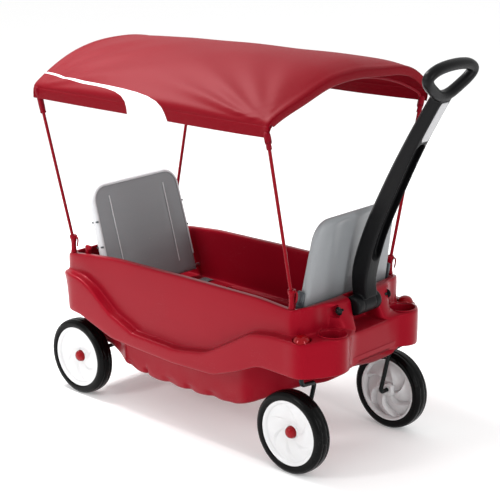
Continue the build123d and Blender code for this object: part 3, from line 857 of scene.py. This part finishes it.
def seat_shape(seat, relief_front, relief_back):
    """Points and quads of a rounded panel; each relief gives the depth sunk at y, s."""
    height, corner, softness = seat["height"], SEAT_CORNER + 8, 17
    low = -SEAT_HALF_THICKNESS
    across = edge_steps(2.0, softness / 184)
    upward = edge_steps(height - low, softness)
    points = []
    for face, relief in ((1, relief_front), (-1, relief_back)):
        for u in upward:
            s = u + low
            over = max(s - (height - corner), 0)
            half = seat_width(seat, s)
            width = half - corner + math.sqrt(max(corner**2 - over**2, 0))
            for a in across:
                y = (a - 1) * width
                gap = min(half - abs(y), height - s, s - low)
                if over > 0 and abs(y) > half - corner:
                    gap = min(gap, corner - math.hypot(over, abs(y) - (half - corner)))
                round_off = math.sqrt(max(1 - (1 - min(max(gap, 0) / softness, 1)) ** 2, 0))
                depth = SEAT_HALF_THICKNESS * round_off - relief(y, s) * ease((gap - 8) / 14)
                points.append((face * depth, y, s))
    rows, columns = len(upward), len(across)
    faces = grid(rows, columns) + grid(rows, columns, start=rows * columns)
    return points, faces


def lean_out(seat, points):
    """Seat-back points, given as thickness, y and height from the hinge, put in place."""
    turn = math.radians(seat["lean"])
    placed = []
    for x, y, s in points:
        placed.append((
            seat["hinge_x"] + x * math.cos(turn) + s * math.sin(turn),
            y,
            SEAT_HINGE_Z - x * math.sin(turn) + s * math.cos(turn),
        ))
    return placed


def flutes(y, s):
    """Two broad upright flutes, and a fine line by each edge, sunk in a seat back's outer face."""
    broad = 7.5 * hump(abs(y), 54, 30) + 1.6 * hump(abs(y), 118, 4)
    return broad * ease((s - 30) / 50)


def panel_lines(y, s):
    """Two narrow upright grooves and three faint cross creases, sunk in a sitting face."""
    upright = hump(abs(y), 112, 3.2) * 3.5
    cross = sum(hump(s, level, 2.6) for level in (105, 160, 215)) * 1.3
    return upright + cross * ease((abs(y) - 50) / 30)


def make_seat_backs():
    for name, seat, front, back in (
        ("front_seat", FRONT_SEAT, flutes, panel_lines),
        ("rear_seat", REAR_SEAT, panel_lines, flutes),
    ):
        points, faces = seat_shape(seat, front, back)
        panel = add_piece(name + "_panel", lean_out(seat, points), faces, GREY_SEAT)
        subdivide(panel, 1)
        settle(panel, name, "grey_seat", name + "_back")
        if seat is REAR_SEAT:
            make_seat_edge(name, seat)


# Section of the bead round the rear seat back: place through its thickness, reach past its edge
BEAD = ((-12.4, -6), (-11, -1.5), (-6, 1.6), (0, 2.4), (6, 1.6), (10.5, -0.5), (13, -4), (13.7, -8.5))


def make_seat_edge(name, seat):
    """Pale bead round a seat back, two dark notches on each side, and pale lines on its sitting face."""
    height, corner = seat["height"], SEAT_CORNER + 8
    path = [Vector((0, seat_width(seat, s) - 1.5, s)) for s in range(40, int(height) - corner, 12)]
    half = path[-1].y
    for step in range(9):
        turn = step * math.pi / 16
        y = half - corner + corner * math.cos(turn)
        path.append(Vector((0, y, height - corner + (corner - 1) * math.sin(turn))))
    path += [Vector((0, -p.y, p.z)) for p in reversed(path)]
    points = []
    for i, point in enumerate(path):
        ahead, behind = path[min(i + 1, len(path) - 1)], path[max(i - 1, 0)]
        out = (ahead - behind).normalized().cross(Vector((1, 0, 0)))
        if out.dot(Vector((0, point.y, point.z - height / 2))) < 0:
            out = -out
        for x, reach in BEAD:
            points.append(Vector((x, 0, 0)) + point + out * reach)
    bead = add_piece(name + "_edge", lean_out(seat, points), grid(len(path), len(BEAD)), GREY_EDGE)
    modify(bead, "SOLIDIFY", thickness=1.5 * MM, offset=-1)
    apply_modifiers(bead)
    settle(bead, name, "grey_seat")
    shapes = []
    for side in SIDES.values():
        for level in (0.42, 0.66):
            s = height * level
            place = Matrix.Translation((0, side * (seat_width(seat, s) - 2.2), s))
            shapes.append(block(place, (27, 5, 6), 1.2))
    points, faces = joined(*shapes)
    settle(add_piece(name + "_notches", lean_out(seat, points), faces, DARK_LATCH), name, "dark_latch")
    length = height - 70
    place = Matrix.Translation((SEAT_HALF_THICKNESS - 0.8, 0, 30 + length / 2))
    shapes = [block(place @ Matrix.Translation((0, y, 0)), (2.4, 3.2, length), 0.8) for y in (-112, 112)]
    points, faces = joined(*shapes)
    settle(add_piece(name + "_trim_lines", lean_out(seat, points), faces, GREY_EDGE), name, "grey_seat")


def make_seat_latches():
    """Dark finger levers at the edges of the front seat back, each on a plate with a rib below."""
    shapes = []
    edge = seat_width(FRONT_SEAT, 150)
    for side in SIDES.values():
        plate = Matrix.Translation((0, side * (edge + 4), 148))
        shapes.append(block(plate, (24, 8, 52), 3))
        lever = Matrix.Translation((0, side * (edge + 6.5), 158)) @ Matrix.Rotation(side * 0.12, 4, "X")
        shapes.append(block(lever, (15, 6, 26), 2.4))
        rib = Matrix.Translation((0, side * (edge + 7), 131))
        shapes.append(block(rib, (17, 4, 5), 1.6))
    points, faces = joined(*shapes)
    latches = add_piece("seat_latch_levers", lean_out(FRONT_SEAT, points), faces, DARK_LATCH)
    settle(latches, "front_seat", "dark_latch", "front_seat_latches")


def make_seat_stops():
    """Red hooked brackets on the tub wall behind the rear seat back."""
    shapes = []
    for side in SIDES.values():
        y = side * (TUB_HALF_WIDTH - 6)
        shapes.append(block(Matrix.Translation((-417, y, 446)), (15, 12, 44), 4.5))
        nose = Matrix.Translation((-408, y, 460)) @ Matrix.Rotation(-0.5, 4, "Y")
        shapes.append(block(nose, (14, 11, 14), 4.5))
    points, faces = joined(*shapes)
    settle(add_piece("seat_stop_hooks", points, faces, RED_BODY), "body", "red_body", "rear_seat_stops")


def make_belts():
    """Webbing lap belts lying on the benches, with their side-release buckles."""
    for name, x in (("front", 300), ("rear", -280)):
        points, faces = [], []
        for side in SIDES.values():
            start = len(points)
            steps = 28
            for i in range(steps + 1):
                y = lerp(24, 191, i / steps)
                rise = 1.2 * math.sin(i * 0.55) ** 2 + 0.6
                for j, offset in enumerate((-19, -18, -9, 0, 9, 18, 19)):
                    dip = 0.5 if j in (0, 6) else 0
                    points.append((x + offset, side * y, BENCH_Z + 1.3 + rise - dip))
            faces += grid(steps + 1, 7, start=start)
        strap = add_piece(name + "_belt_strap", points, faces, WEBBING)
        add_cloth_places(strap, x)
        modify(strap, "SOLIDIFY", thickness=1.4 * MM, offset=-1)
        modify(strap, "SUBSURF", levels=1, render_levels=1)
        apply_modifiers(strap)
        settle(strap, "body", "webbing", name + "_lap_belt")
        case = Matrix.Translation((x, 0, BENCH_Z + 7.5))
        shapes = [block(case, (42, 46, 11), 5)]
        shapes.append(block(case @ Matrix.Translation((0, 14, 4.5)), (16, 12, 4.5), 2))
        for side in SIDES.values():
            shapes.append(block(case @ Matrix.Translation((side * 16, 4, 3.6)), (7, 26, 5), 2.2))
            shapes.append(block(case @ Matrix.Translation((0, side * 26, -3.4)), (40, 7, 5), 2))
        points, faces = joined(*shapes)
        buckle = add_piece(name + "_buckle_case", points, faces, BLACK_PLASTIC)
        settle(buckle, "body", "black_plastic", name + "_belt_buckle")


def add_cloth_places(piece, x_middle):
    """Flat cloth places in metres, straight from above."""
    layer = piece.data.uv_layers.new(name="cloth")
    for loop in piece.data.loops:
        point = piece.data.vertices[loop.vertex_index].co
        layer.data[loop.index].uv = (point.x - x_middle * MM - MIDWAY, point.y)


# --- Handle ---------------------------------------------------------------------------

SHAFT_FRONT = [(524, 470), (521, 529), (552, 645), (611, 782), (673, 912), (744, 1039)]
SHAFT_REAR = [(468, 452), (463, 543), (501, 665), (565, 803), (634, 932), (708, 1057)]
SHAFT_HALF_WIDTH = 24
CHANNEL_HALF_WIDTH = 19
CHANNEL_DEPTH = 20
CHANNEL_Z = (572, 914)
GRIP_CENTRE = (750, 1094)
GRIP_LEAN = 20


def shaft_shape():
    """Curved shaft: flat textured sides, rounded rear, and a deep channel down the front."""
    front = curve_through([(x, 0, z) for x, z in SHAFT_FRONT], 14)
    rear = curve_through([(x, 0, z) for x, z in SHAFT_REAR], 14)
    points = []
    half, mouth = SHAFT_HALF_WIDTH, CHANNEL_HALF_WIDTH
    for f, r in zip(front, rear):
        across = (f - r).normalized()
        thick = (f - r).length
        low = ease((f.z - CHANNEL_Z[0]) / 16)
        high = ease((CHANNEL_Z[1] - f.z) / 9)
        open_ = min(low, high)
        depth = CHANNEL_DEPTH * open_
        width = mouth * (0.35 + 0.65 * open_)
        side = [
            (0, 0), (8, 0), (15, 1.2), (19, 5), (half, 11), (half, thick * 0.5), (half, thick - 9),
            (half - 0.6, thick - 3), (half - 2.4, thick - 0.6), (width + 1.8, thick),
            (width + 0.3, thick - min(depth, 1)), (width, thick - depth * 0.5),
            (width - 0.4, thick - depth + min(depth, 1)), (width - 2, thick - depth), (0, thick - depth),
        ]
        ring = side + [(-y, u) for y, u in reversed(side[1:-1])]
        for y, u in ring:
            points.append(r + across * u + Vector((0, y, 0)))
    count, rows = len(ring), len(front)
    faces = grid(rows, count, ring=True)
    faces += [tuple(range(count)), tuple(range((rows - 1) * count, rows * count))]
    return points, faces


def grip_shape():
    """Closed stirrup loop with a rounded tube section, leaning forwards."""
    half = [
        (0, 41), (38, 39), (68, 33), (90, 21), (93, 8), (80, -8), (60, -22), (38, -36), (20, -44), (0, -47),
    ]
    outline = half + [(-y, s) for y, s in reversed(half[1:-1])]
    lean = math.radians(GRIP_LEAN)
    origin = Vector((GRIP_CENTRE[0], 0, GRIP_CENTRE[1]))
    up = Vector((math.sin(lean), 0, math.cos(lean)))
    out = Vector((math.cos(lean), 0, -math.sin(lean)))
    flat = curve_through([(y, s, 0) for y, s in outline], 5, closed=True)
    points = []
    count = len(flat)
    for i, spot in enumerate(flat):
        along = (flat[(i + 1) % count] - flat[i - 1]).normalized()
        side = Vector((along.y, -along.x, 0))
        for k in range(16):
            turn = 2 * math.pi * k / 16
            c, s = math.cos(turn), math.sin(turn)
            c = math.copysign(abs(c) ** 0.85, c) * 14.5
            s = math.copysign(abs(s) ** 0.85, s) * 14.5
            place = spot + side * c
            points.append(origin + Vector((0, place.x, 0)) + up * place.y + out * s)
    return points, grid(count, 16, ring=True, loop=True)


def make_handle():
    barrel = [(0, -50), (20, -50), (25, -48.6), (27.3, -45), (28, -41)]
    barrel += [(28, -28), (26.6, -26.5), (26.6, -23.5), (28, -22)]
    barrel += [(28, 22), (26.6, 23.5), (26.6, 26.5), (28, 28)]
    barrel += [(28, 41), (27.3, 45), (25, 48.6), (20, 50), (0, 50)]
    turned = lathe(barrel, pointing((HINGE[0], 0, HINGE[1]), (0, 1, 0)))
    neck = block(
        Matrix.Translation((722, 0, 1046)) @ Matrix.Rotation(math.radians(28), 4, "Y"), (28, 52, 22), 10
    )
    points, faces = joined(shaft_shape(), grip_shape(), turned, neck)
    handle = add_piece("handle_moulding", points, faces, BLACK_HANDLE)
    voxel = 1.9 * MM
    modify(handle, "REMESH", mode="VOXEL", voxel_size=voxel, use_smooth_shade=True)
    modify(handle, "SMOOTH", factor=0.5, iterations=4)
    apply_modifiers(handle)
    coat(handle, BLACK_HANDLE)
    settle(handle, "pull_handle", "black_plastic", "handle")


def make_label():
    """Blank film label, slightly domed, let into the front of the shaft above the channel."""
    line = [p for p in curve_through([(x, 0, z) for x, z in SHAFT_FRONT], 24) if 922 < p.z < 1035]
    points = []
    for i, spot in enumerate(line):
        ahead, behind = line[min(i + 1, len(line) - 1)], line[max(i - 1, 0)]
        along = (ahead - behind).normalized()
        out = Vector((along.z, 0, -along.x))
        end = min(i, len(line) - 1 - i)
        pinch = (4, 1.2, 0.2)[end] if end < 3 else 0
        for j in range(9):
            y = lerp(-16 + pinch, 16 - pinch, j / 8)
            points.append(spot + Vector((0, y, 0)) + out * (1.2 + 0.5 * (1 - (y / 16) ** 2)))
    label = add_piece("handle_label_film", points, grid(len(line), 9), LABEL)
    modify(label, "SOLIDIFY", thickness=1.2 * MM, offset=-1)
    apply_modifiers(label)
    settle(label, "pull_handle", "label_silver", "handle_label")


def make_handle_bolt():
    """Domed black bolt head on one side and cap nut on the other, each with a washer."""
    for name, side, node in (("pivot_bolt_head", -1, "handle_bolt"), ("pivot_cap_nut", 1, "handle_nut")):
        place = pointing((HINGE[0], side * BOLT_SEAT_Y, HINGE[1]), (0, side, 0))
        washer = lathe([(0, 0), (11.5, 0), (12, 0.6), (12, 1.4), (11.4, 2), (0, 2)], place)
        dome = lathe([(9, 1), (9, 3.4), (8.4, 5.2), (6.6, 7.2), (4, 8.4), (0.01, 8.8)], place)
        stem = lathe([(0, -14), (5, -14), (5, 1), (0, 1)], place)
        points, faces = joined(washer, dome, stem)
        head = add_piece(name, points, faces, BLACK_STEEL)
        settle(head, "body", "black_steel", node)


# --- Wheels ---------------------------------------------------------------------------

TREAD_WAVES = 22


def wheel_points(x, side, rings, segments, shape):
    """Points round a wheel: shape turns a ring and an angle into radius, offset, angle."""
    points = []
    for ring in rings:
        for i in range(segments):
            radius, out, turn = shape(ring, 2 * math.pi * i / segments)
            y = side * (WHEEL_Y + out)
            points.append((x + radius * math.cos(turn), y, WHEEL_RADIUS + radius * math.sin(turn)))
    return points


def tyre_ring(ring, turn):
    """Smooth crowned tyre with a shoulder step and a wandering groove down the tread."""
    radius, out, groove, sway = ring
    wave = math.sin(turn * TREAD_WAVES) + 0.35 * math.sin(turn * TREAD_WAVES * 2 + 1)
    return radius - groove, out + sway * wave, turn


TYRE_HALF = [
    (91, 19, 0, 0), (92.5, 22, 0, 0), (94.5, 23.6, 0, 0), (98, 24.6, 0, 0), (103, 24.8, 0, 0),
    (107, 24.2, 0, 0),
    (110, 23, 0, 0), (112, 21.6, 0, 0), (112.6, 21, 0.5, 0), (113.6, 20.4, 0.5, 0), (114.6, 19.4, 0, 0),
    (116, 15, 0, 0.4), (116.8, 10.5, 0, 1.0), (116.9, 9.4, 0.9, 1.2), (116.9, 8.2, 0.9, 1.2),
    (117.0, 7.1, 0, 1.0),
    (117.4, 3, 0, 0.3),
]


def make_tyre(corner, x, side, body):
    mirror = [(r, -out, g, -s) for r, out, g, s in reversed(TYRE_HALF)]
    rings = TYRE_HALF + [(117.5, 0, 0, 0)] + mirror
    points = wheel_points(x, side, rings, 176, tyre_ring)
    tyre = add_piece("tyre_tread_" + corner, points, grid(len(rings), 176, ring=True, loop=True), TYRE_BLACK)
    settle(tyre, body, "tyre_black", "tyre_" + corner)


BLADES = 6
SWIRL = 0.94


def blade(turn):
    """Saw-tooth round the wheel: a long ramp up to each blade's edge and a short drop."""
    t = turn * BLADES / (2 * math.pi) % 1
    return t / 0.84 if t < 0.84 else (1 - t) / 0.16


def rim_ring(ring, turn):
    radius, out, lift, swirl = ring
    return radius, out + lift * blade(turn), turn + swirl


def rim_rings():
    """Outer dish with shallow swept facets, the band under the tyre, and the deep-bladed inner face."""
    rings = [(17, 1, 0, 0.0), (17, 6, 0, 0.0), (19.5, 6.5, 0, 0), (22, 5, 0.2, 0.02)]
    for i in range(9):
        t = i / 8
        swell = math.sin(math.pi * min(t * 1.08, 1))
        rings.append((lerp(24, 81, t), lerp(3.6, 13.5, t), 9.0 * swell * t, 0.9 * t))
    band = (
        (83.5, 17.2), (85.5, 19.6), (87.5, 20.8), (91, 21.6), (93, 21.4), (93.4, 19), (92.8, 0), (93.4, -19),
        (93, -21.4), (91, -21.8), (88, -21.4), (86.4, -19.6), (85.4, -14),
    )
    rings += [(radius, out, 0, SWIRL) for radius, out in band]
    for i in range(10):
        t = i / 9
        swell = math.sin(math.pi * min(t * 0.75 + 0.2, 1)) ** 0.7
        rings.append((lerp(84, 21, t), lerp(2, -6, t), -19 * swell, SWIRL - 1.0 * t))
    rings += [(radius, out, 0, -0.06) for radius, out in ((18, -19), (16.5, -21.5), (13, -22), (7.5, -21.5))]
    rings.append((6.6, -20, 0, 0))
    return rings


def make_rim(corner, x, side, body):
    rings = rim_rings()
    points = wheel_points(x, side, rings, 216, rim_ring)
    disc = add_piece("rim_disc_" + corner, points, grid(len(rings), 216, ring=True), RIM_WHITE)
    smooth_by_angle(disc, 38)
    settle(disc, body, "rim_white", "rim_" + corner)


def make_hub_cap(corner, x, side, body):
    """Glossy red acorn cap with a small collar, sunk in the middle of the dish."""
    outline = [(0, 2), (18.4, 2), (18.9, 3.5), (18.4, 6), (17.2, 7), (17.4, 9), (16.9, 12), (15.3, 15.6),
               (12.6, 18.6), (9, 20.6), (4.6, 21.8), (0.01, 22.2)]
    points, faces = lathe(outline, pointing((x, side * WHEEL_Y, WHEEL_RADIUS), (0, side, 0)), 40)
    cap = add_piece("acorn_cap_" + corner, points, faces, RED_CAP)
    settle(cap, body, "red_cap", "hub_cap_" + corner)


def make_wheels():
    for name, side in SIDES.items():
        for end, x in (("front", AXLE_X), ("rear", -AXLE_X)):
            corner = end + "_" + name
            for make in (make_tyre, make_rim, make_hub_cap):
                make(corner, x, side, "wheel_" + corner)


def make_kingpin_caps():
    """Smooth red domes over the caster pins."""
    for name, side in SIDES.items():
        outline = [(0, 2.5), (23.6, 2.5), (24, 4), (23.8, 8), (22.6, 13), (20.6, 17.5), (17.8, 21.5),
                   (14, 24.8), (9.6, 27), (5, 28.2), (0.01, 28.6)]
        place = Matrix.Translation((KINGPIN[0], side * KINGPIN[1], CAP_POCKET_Z))
        points, faces = lathe(outline, place)
        cap = add_piece("caster_dome_" + name, points, faces, RED_CAP)
        settle(cap, "caster_" + name, "red_cap", "kingpin_cap_" + name)


# --- Canopy frame ---------------------------------------------------------------------


def make_fittings():
    """Red plugs at the feet of the poles, each with a flared head and a hooked spring finger."""
    for name, side in SIDES.items():
        for end, pole in (("front", FRONT_POLE), ("rear", REAR_POLE)):
            x, z = pole["foot"]
            place = Matrix.Translation((x, side * POLE_FOOT_Y, z))
            top = FITTING_HEIGHT
            outline = [(0, -36), (4.9, -36), (4.9, 0.3), (8.6, 0.3), (9.2, 1.5), (9, 4), (8, 8), (7.6, 16),
                       (7.8, top - 22), (9, top - 15), (11, top - 10), (11.8, top - 6), (11.4, top - 2),
                       (9.6, top), (6.5, top + 0.4), (6, top - 3), (0, top - 3)]
            plug = lathe(outline, place, 32)
            route = [(9, 0, top - 8), (14, 0, top - 4.4), (18, 0, top - 6), (19.6, 0, top - 12)]
            route += [(18.8, 0, top - 20), (17.4, 0, top - 28), (15.6, 0, top - 33)]
            hook = tube([place @ p for p in curve_through(route, 4)], [2.3] * 20 + [1.9] * 4 + [1.4], 10)
            points, faces = joined(plug, hook)
            fitting = add_piece(f"pole_plug_{end}_{name}", points, faces, RED_FITTING)
            settle(fitting, "canopy_frame", "red_fitting", f"fitting_{end}_{name}")


CANOPY_REAR, CANOPY_FRONT = -484, 436
STATION_X = (CANOPY_REAR, -300, -50, 200, 340, 400, CANOPY_FRONT)
HEM_LINE = profile(*zip(STATION_X, (929, 932, 936, 941, 944, 946, 947)))
SHOULDER_LINE = profile(*zip(STATION_X, (966, 978, 985, 990, 992, 990, 988)))
CANOPY_HALF_WIDTH = 324.5
HEM_DEPTH = 30


def ridge_line(x):
    """Height of the canopy's ridge, smooth along its whole length."""
    knots = [Vector(p) for p in zip(STATION_X, (1072, 1085, 1098, 1104, 1101, 1090, 1071), (0,) * 7)]
    line = curve_through(knots, 8)
    return profile(*[(p.x, p.y) for p in line])(x)


def canopy_arc(x, samples=120):
    """Half section of the canopy at x from the hem to the ridge: y, z points a little rounded."""
    hem, shoulder, ridge = HEM_LINE(x), SHOULDER_LINE(x), ridge_line(x)
    rise = ridge - shoulder
    radius = (CANOPY_HALF_WIDTH**2 + rise**2) / (2 * rise)
    half = math.asin(CANOPY_HALF_WIDTH / radius)
    side = shoulder - hem
    length = side + radius * half
    points = []
    for i in range(samples + 1):
        run = length * i / samples
        if run <= side:
            points.append((CANOPY_HALF_WIDTH, hem + run))
        else:
            turn = half - (run - side) / radius
            points.append((radius * math.sin(turn), ridge - radius + radius * math.cos(turn)))
    for _ in range(14):
        trios = zip(points, points[1:], points[2:])
        middle = [((a[0] + b[0] * 2 + c[0]) / 4, (a[1] + b[1] * 2 + c[1]) / 4) for a, b, c in trios]
        points = [points[0], *middle, points[-1]]
    return points, length


# Folds that run from each corner of the canopy: angle up from the hem, height, half angle.
CORNER_FOLDS = {
    ("front", -1): ((13.5, 10, 3.0), (27, 9.5, 4.2), (45, 5.5, 6), (66, 4.5, 7)),
    ("front", 1): ((15, 6.0, 3.6), (31, 5.5, 5), (55, 3.5, 7)),
    ("rear", -1): ((20, 5, 5), (44, 6.5, 6), (66, 4.5, 7)),
    ("rear", 1): ((24, 4.0, 5), (48, 3.5, 7)),
}


def fold_height(x, side, v):
    """How far the cloth stands out of its taut shape at x, on one side, v up from the hem."""
    height = 0
    for (end, which), folds in CORNER_FOLDS.items():
        if which != side:
            continue
        along = 430 - x if end == "front" else x + 474
        if along < -4:
            continue
        reach = math.hypot(along, v - 34)
        angle = math.degrees(math.atan2(v - 34, max(along, 0.1)))
        fade = ease(reach / 90) * math.exp(-((reach / 330) ** 2)) * ease((v - 31) / 16)
        for middle, tall, spread in folds:
            height += tall * hump(angle, middle, spread) * fade
            height -= tall * 0.45 * hump(angle, middle - 1.9 * spread, spread * 0.9) * fade
    lift = 28 * hump(v, 110, 120) if side > 0 else -12 * hump(v, 190, 100)
    lift *= ease((x - 150) / 270)
    slack = lift + 1.6 * math.sin(x / 61 + side) * math.sin(v / 47) * ease((v - 40) / 60)
    return height + slack


# Places up the cloth from the hem, closer together at the seam of the hem
CLOTH_ROWS = (
    0, 2.5, 9, 18, 26, 29, 31, 34, 40, 48, 57, 67, 78, 90, 103, 117, 132, 148, 165, 183, 202, 222, 243,
    265, 288,
    312, 337,
)
# Places along the cloth past its two ends, each with how far it is tucked in round the bow
REAR_TUCKS = ((-478, 24), (-480.5, 22), (-482, 12))
FRONT_TUCKS = ((435.5, 12), (434, 22), (431.5, 26))
# Each bow: its place along the canopy and how far the cloth stands out over it
BOWS = ((428, 3.2), (-468, 2.6))


def cloth_stations():
    """Places along the cloth from the rear tuck to the front one, each with its tuck."""
    xs = [CANOPY_REAR, -482.5, -476, -470, -463, -456]
    xs += [lerp(-446, 406, i / 44) for i in range(45)]
    xs += [414, 421, 428, 434, CANOPY_FRONT]
    return [*REAR_TUCKS, *((x, 0) for x in xs), *FRONT_TUCKS]


def cloth_half(x):
    """Points from the hem to the ridge at x: y, z, place up the cloth and outward normal."""
    arc, length = canopy_arc(x)
    rows = [v for v in CLOTH_ROWS if v < length - 14] + [length]
    while len(rows) < len(CLOTH_ROWS) + 1:
        rows.insert(-1, lerp(rows[-2], length, 0.5))
    half = []
    for v in rows:
        t = min(v / length, 1) * (len(arc) - 1)
        i = min(int(t), len(arc) - 2)
        a, b = arc[i], arc[i + 1]
        normal = Vector((b[1] - a[1], a[0] - b[0])).normalized()
        half.append((lerp(a[0], b[0], t - i), lerp(a[1], b[1], t - i), v, normal))
    return half


def make_canopy():
    """One sheet of cloth stretched over both bows, hemmed at the sides and tucked in at the ends."""
    points, places = [], []
    stations = cloth_stations()
    for x, tuck in stations:
        half = cloth_half(x)
        over_bow = sum(hump(x, bow_x, 6.5) * rise for bow_x, rise in BOWS)
        for side in (-1, 1):
            for y, z, v, normal in half if side < 0 else half[-2::-1]:
                out = fold_height(x, side, v) + over_bow * ease(v / 20)
                out += 0.7 if v < HEM_DEPTH else 0
                out -= 0.9 * hump(v, 30.5, 1.6)
                hem_wave = 1.2 * math.sin(x / 83 + side) * (1 - ease(v / 60))
                out += hem_wave - 0.8 - tuck * ease((v - 20) / 30)
                points.append((x, side * (y + normal.x * out), z + normal.y * out))
                places.append(((x - CANOPY_REAR) * MM, v * MM))
    columns = len(points) // len(stations)
    cover = add_piece("canopy_cover", points, grid(len(stations), columns), CANOPY)
    layer = cover.data.uv_layers.new(name="cloth")
    tree = KDTree(len(points))
    for i, point in enumerate(points):
        tree.insert(at(*point), i)
    tree.balance()
    for loop in cover.data.loops:
        layer.data[loop.index].uv = places[tree.find(cover.data.vertices[loop.vertex_index].co)[1]]
    modify(cover, "SUBSURF", levels=1, render_levels=1)
    solid = modify(cover, "SOLIDIFY", thickness=1.1 * MM, offset=-1)
    solid.use_rim = True
    apply_modifiers(cover)
    settle(cover, "canopy_frame", "canopy_fabric", "canopy")
    widths = [2 * canopy_arc(x)[1] * MM for x in (CANOPY_REAR, -250, 0, 250, CANOPY_FRONT)]


def make_sleeves():
    """Cloth pockets at the corners of the canopy that the pole ends go up into."""
    segments = 28
    for name, side in SIDES.items():
        for end, pole, drop in (("front", FRONT_POLE, 4), ("rear", REAR_POLE, 52)):
            foot = Vector((pole["foot"][0], side * (POLE_FOOT_Y + 1), pole["foot"][1] + FITTING_HEIGHT - 14))
            head = Vector((pole["top_x"], side * POLE_TOP[0], POLE_TOP[1]))
            axis = (head - foot).normalized()
            outline = [
                (6.4, -drop - 15), (7.0, -drop - 15), (7.2, -drop - 8), (6.8, -drop - 1), (8.4, -drop),
                (8.8, -drop + 2), (8.2, -drop + 5), (8.6, -drop + 12), (9.2, 0), (9.4, 12), (8.6, 22),
                (6, 28),
                (0.01, 29),
            ]
            if end == "rear":
                outline = outline[4:]
            points, faces = lathe(outline, pointing(head, axis), segments)
            creased = []
            for i, point in enumerate(points):
                turn = i % segments / segments * 2 * math.pi
                row = i // segments
                pull = 0.45 * math.sin(turn * 3 + row * 0.9)
                spine = head + axis * (Vector(point) - head).dot(axis)
                creased.append(Vector(point) + (Vector(point) - spine).normalized() * pull)
            sleeve = add_piece(f"pole_sleeve_{end}_{name}", creased, faces, CANOPY_PLAIN)
            modify(sleeve, "SOLIDIFY", thickness=1.0 * MM, offset=-1)
            apply_modifiers(sleeve)
            settle(sleeve, "canopy_frame", "canopy_fabric")


# --- Nodes that keep their own shape --------------------------------------------------


def refinish(material, *names):
    for name in names:
        coat(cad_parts[name], material)


def refinish_nodes():
    corners = [f"{end}_{name}" for end in ("front", "rear") for name in SIDES]
    refinish(RED_PAINT, *["pole_" + corner for corner in corners])
    refinish(ZINC, "front_seat_pins", "rear_seat_pins", *["push_nut_" + corner for corner in corners])
    refinish(CANOPY_PLAIN, "front_bow", "rear_bow")
    refinish(NYLON, *["kingpin_bush_" + name for name in SIDES])
    refinish(BLACK_STEEL, "rear_axle", *["caster_rod_" + name for name in SIDES])
    refinish(BLACK_PLASTIC, "axle_brackets")


# --- Studio ---------------------------------------------------------------------------


def aim(thing, target):
    thing.rotation_euler = (target - thing.location).to_track_quat("-Z", "Y").to_euler()


def add_light(name, place, target, size, power, tint=(1, 1, 1)):
    lamp = bpy.data.lights.new(name, "AREA")
    lamp.shape = "RECTANGLE"
    lamp.size, lamp.size_y = size
    lamp.energy = power
    lamp.color = tint
    light = bpy.data.objects.new(name, lamp)
    light.location = place
    aim(light, target)
    bpy.context.scene.collection.objects.link(light)


def make_studio():
    material, tree, shader = start_material("floor paper", Specular_IOR_Level=0.1)
    place = add_node(tree, "ShaderNodeTexCoord").outputs["Object"]
    tone = mix_colour(tree, noise(tree, place, 900.0, 3.0), (0.90, 0.90, 0.90, 1), (0.93, 0.93, 0.93, 1))
    tree.links.new(tone, shader.inputs["Base Color"])
    shader.inputs["Roughness"].default_value = 0.9
    shader.inputs["Emission Color"].default_value = (1, 1, 1, 1)
    shader.inputs["Emission Strength"].default_value = 0.14
    sheet = [(x, y, -0.3) for x in (-30000, 0, 30000) for y in (-30000, 0, 30000)]
    floor = add_piece("floor", sheet, grid(3, 3), material)
    bpy.context.scene.view_settings.view_transform = "Standard"
    world = bpy.data.worlds.new("studio")
    world.use_nodes = True
    sky = world.node_tree.nodes["Background"]
    sky.inputs["Color"].default_value = (1, 1, 1, 1)
    sky.inputs["Strength"].default_value = 0.92
    bpy.context.scene.world = world
    middle = at(0, 0, 450)
    add_light("overhead", at(-1500, -300, 3200), middle, (0.8, 0.8), 125)
    add_light("front_left", at(-900, -3400, 1900), middle, (0.8, 1.4), 45)
    add_light("front_right", at(3600, -600, 1500), middle, (0.4, 1.8), 30)


def make_camera():
    lens = bpy.data.cameras.new("camera")
    lens.lens = 111.35
    lens.sensor_width = 36
    lens.clip_start, lens.clip_end = 0.05, 60
    camera = bpy.data.objects.new("camera", lens)
    camera.location = at(2983, -3133, 1797)
    aim(camera, at(71.4, 0, 509.5))
    bpy.context.scene.collection.objects.link(camera)
    bpy.context.scene.camera = camera


make_camera()
make_body()
make_cup_lips()
make_seat_backs()
make_seat_latches()
make_seat_stops()
make_belts()
make_handle()
make_label()
make_handle_bolt()
make_wheels()
make_kingpin_caps()
make_fittings()
make_canopy()
make_sleeves()
refinish_nodes()
make_studio()
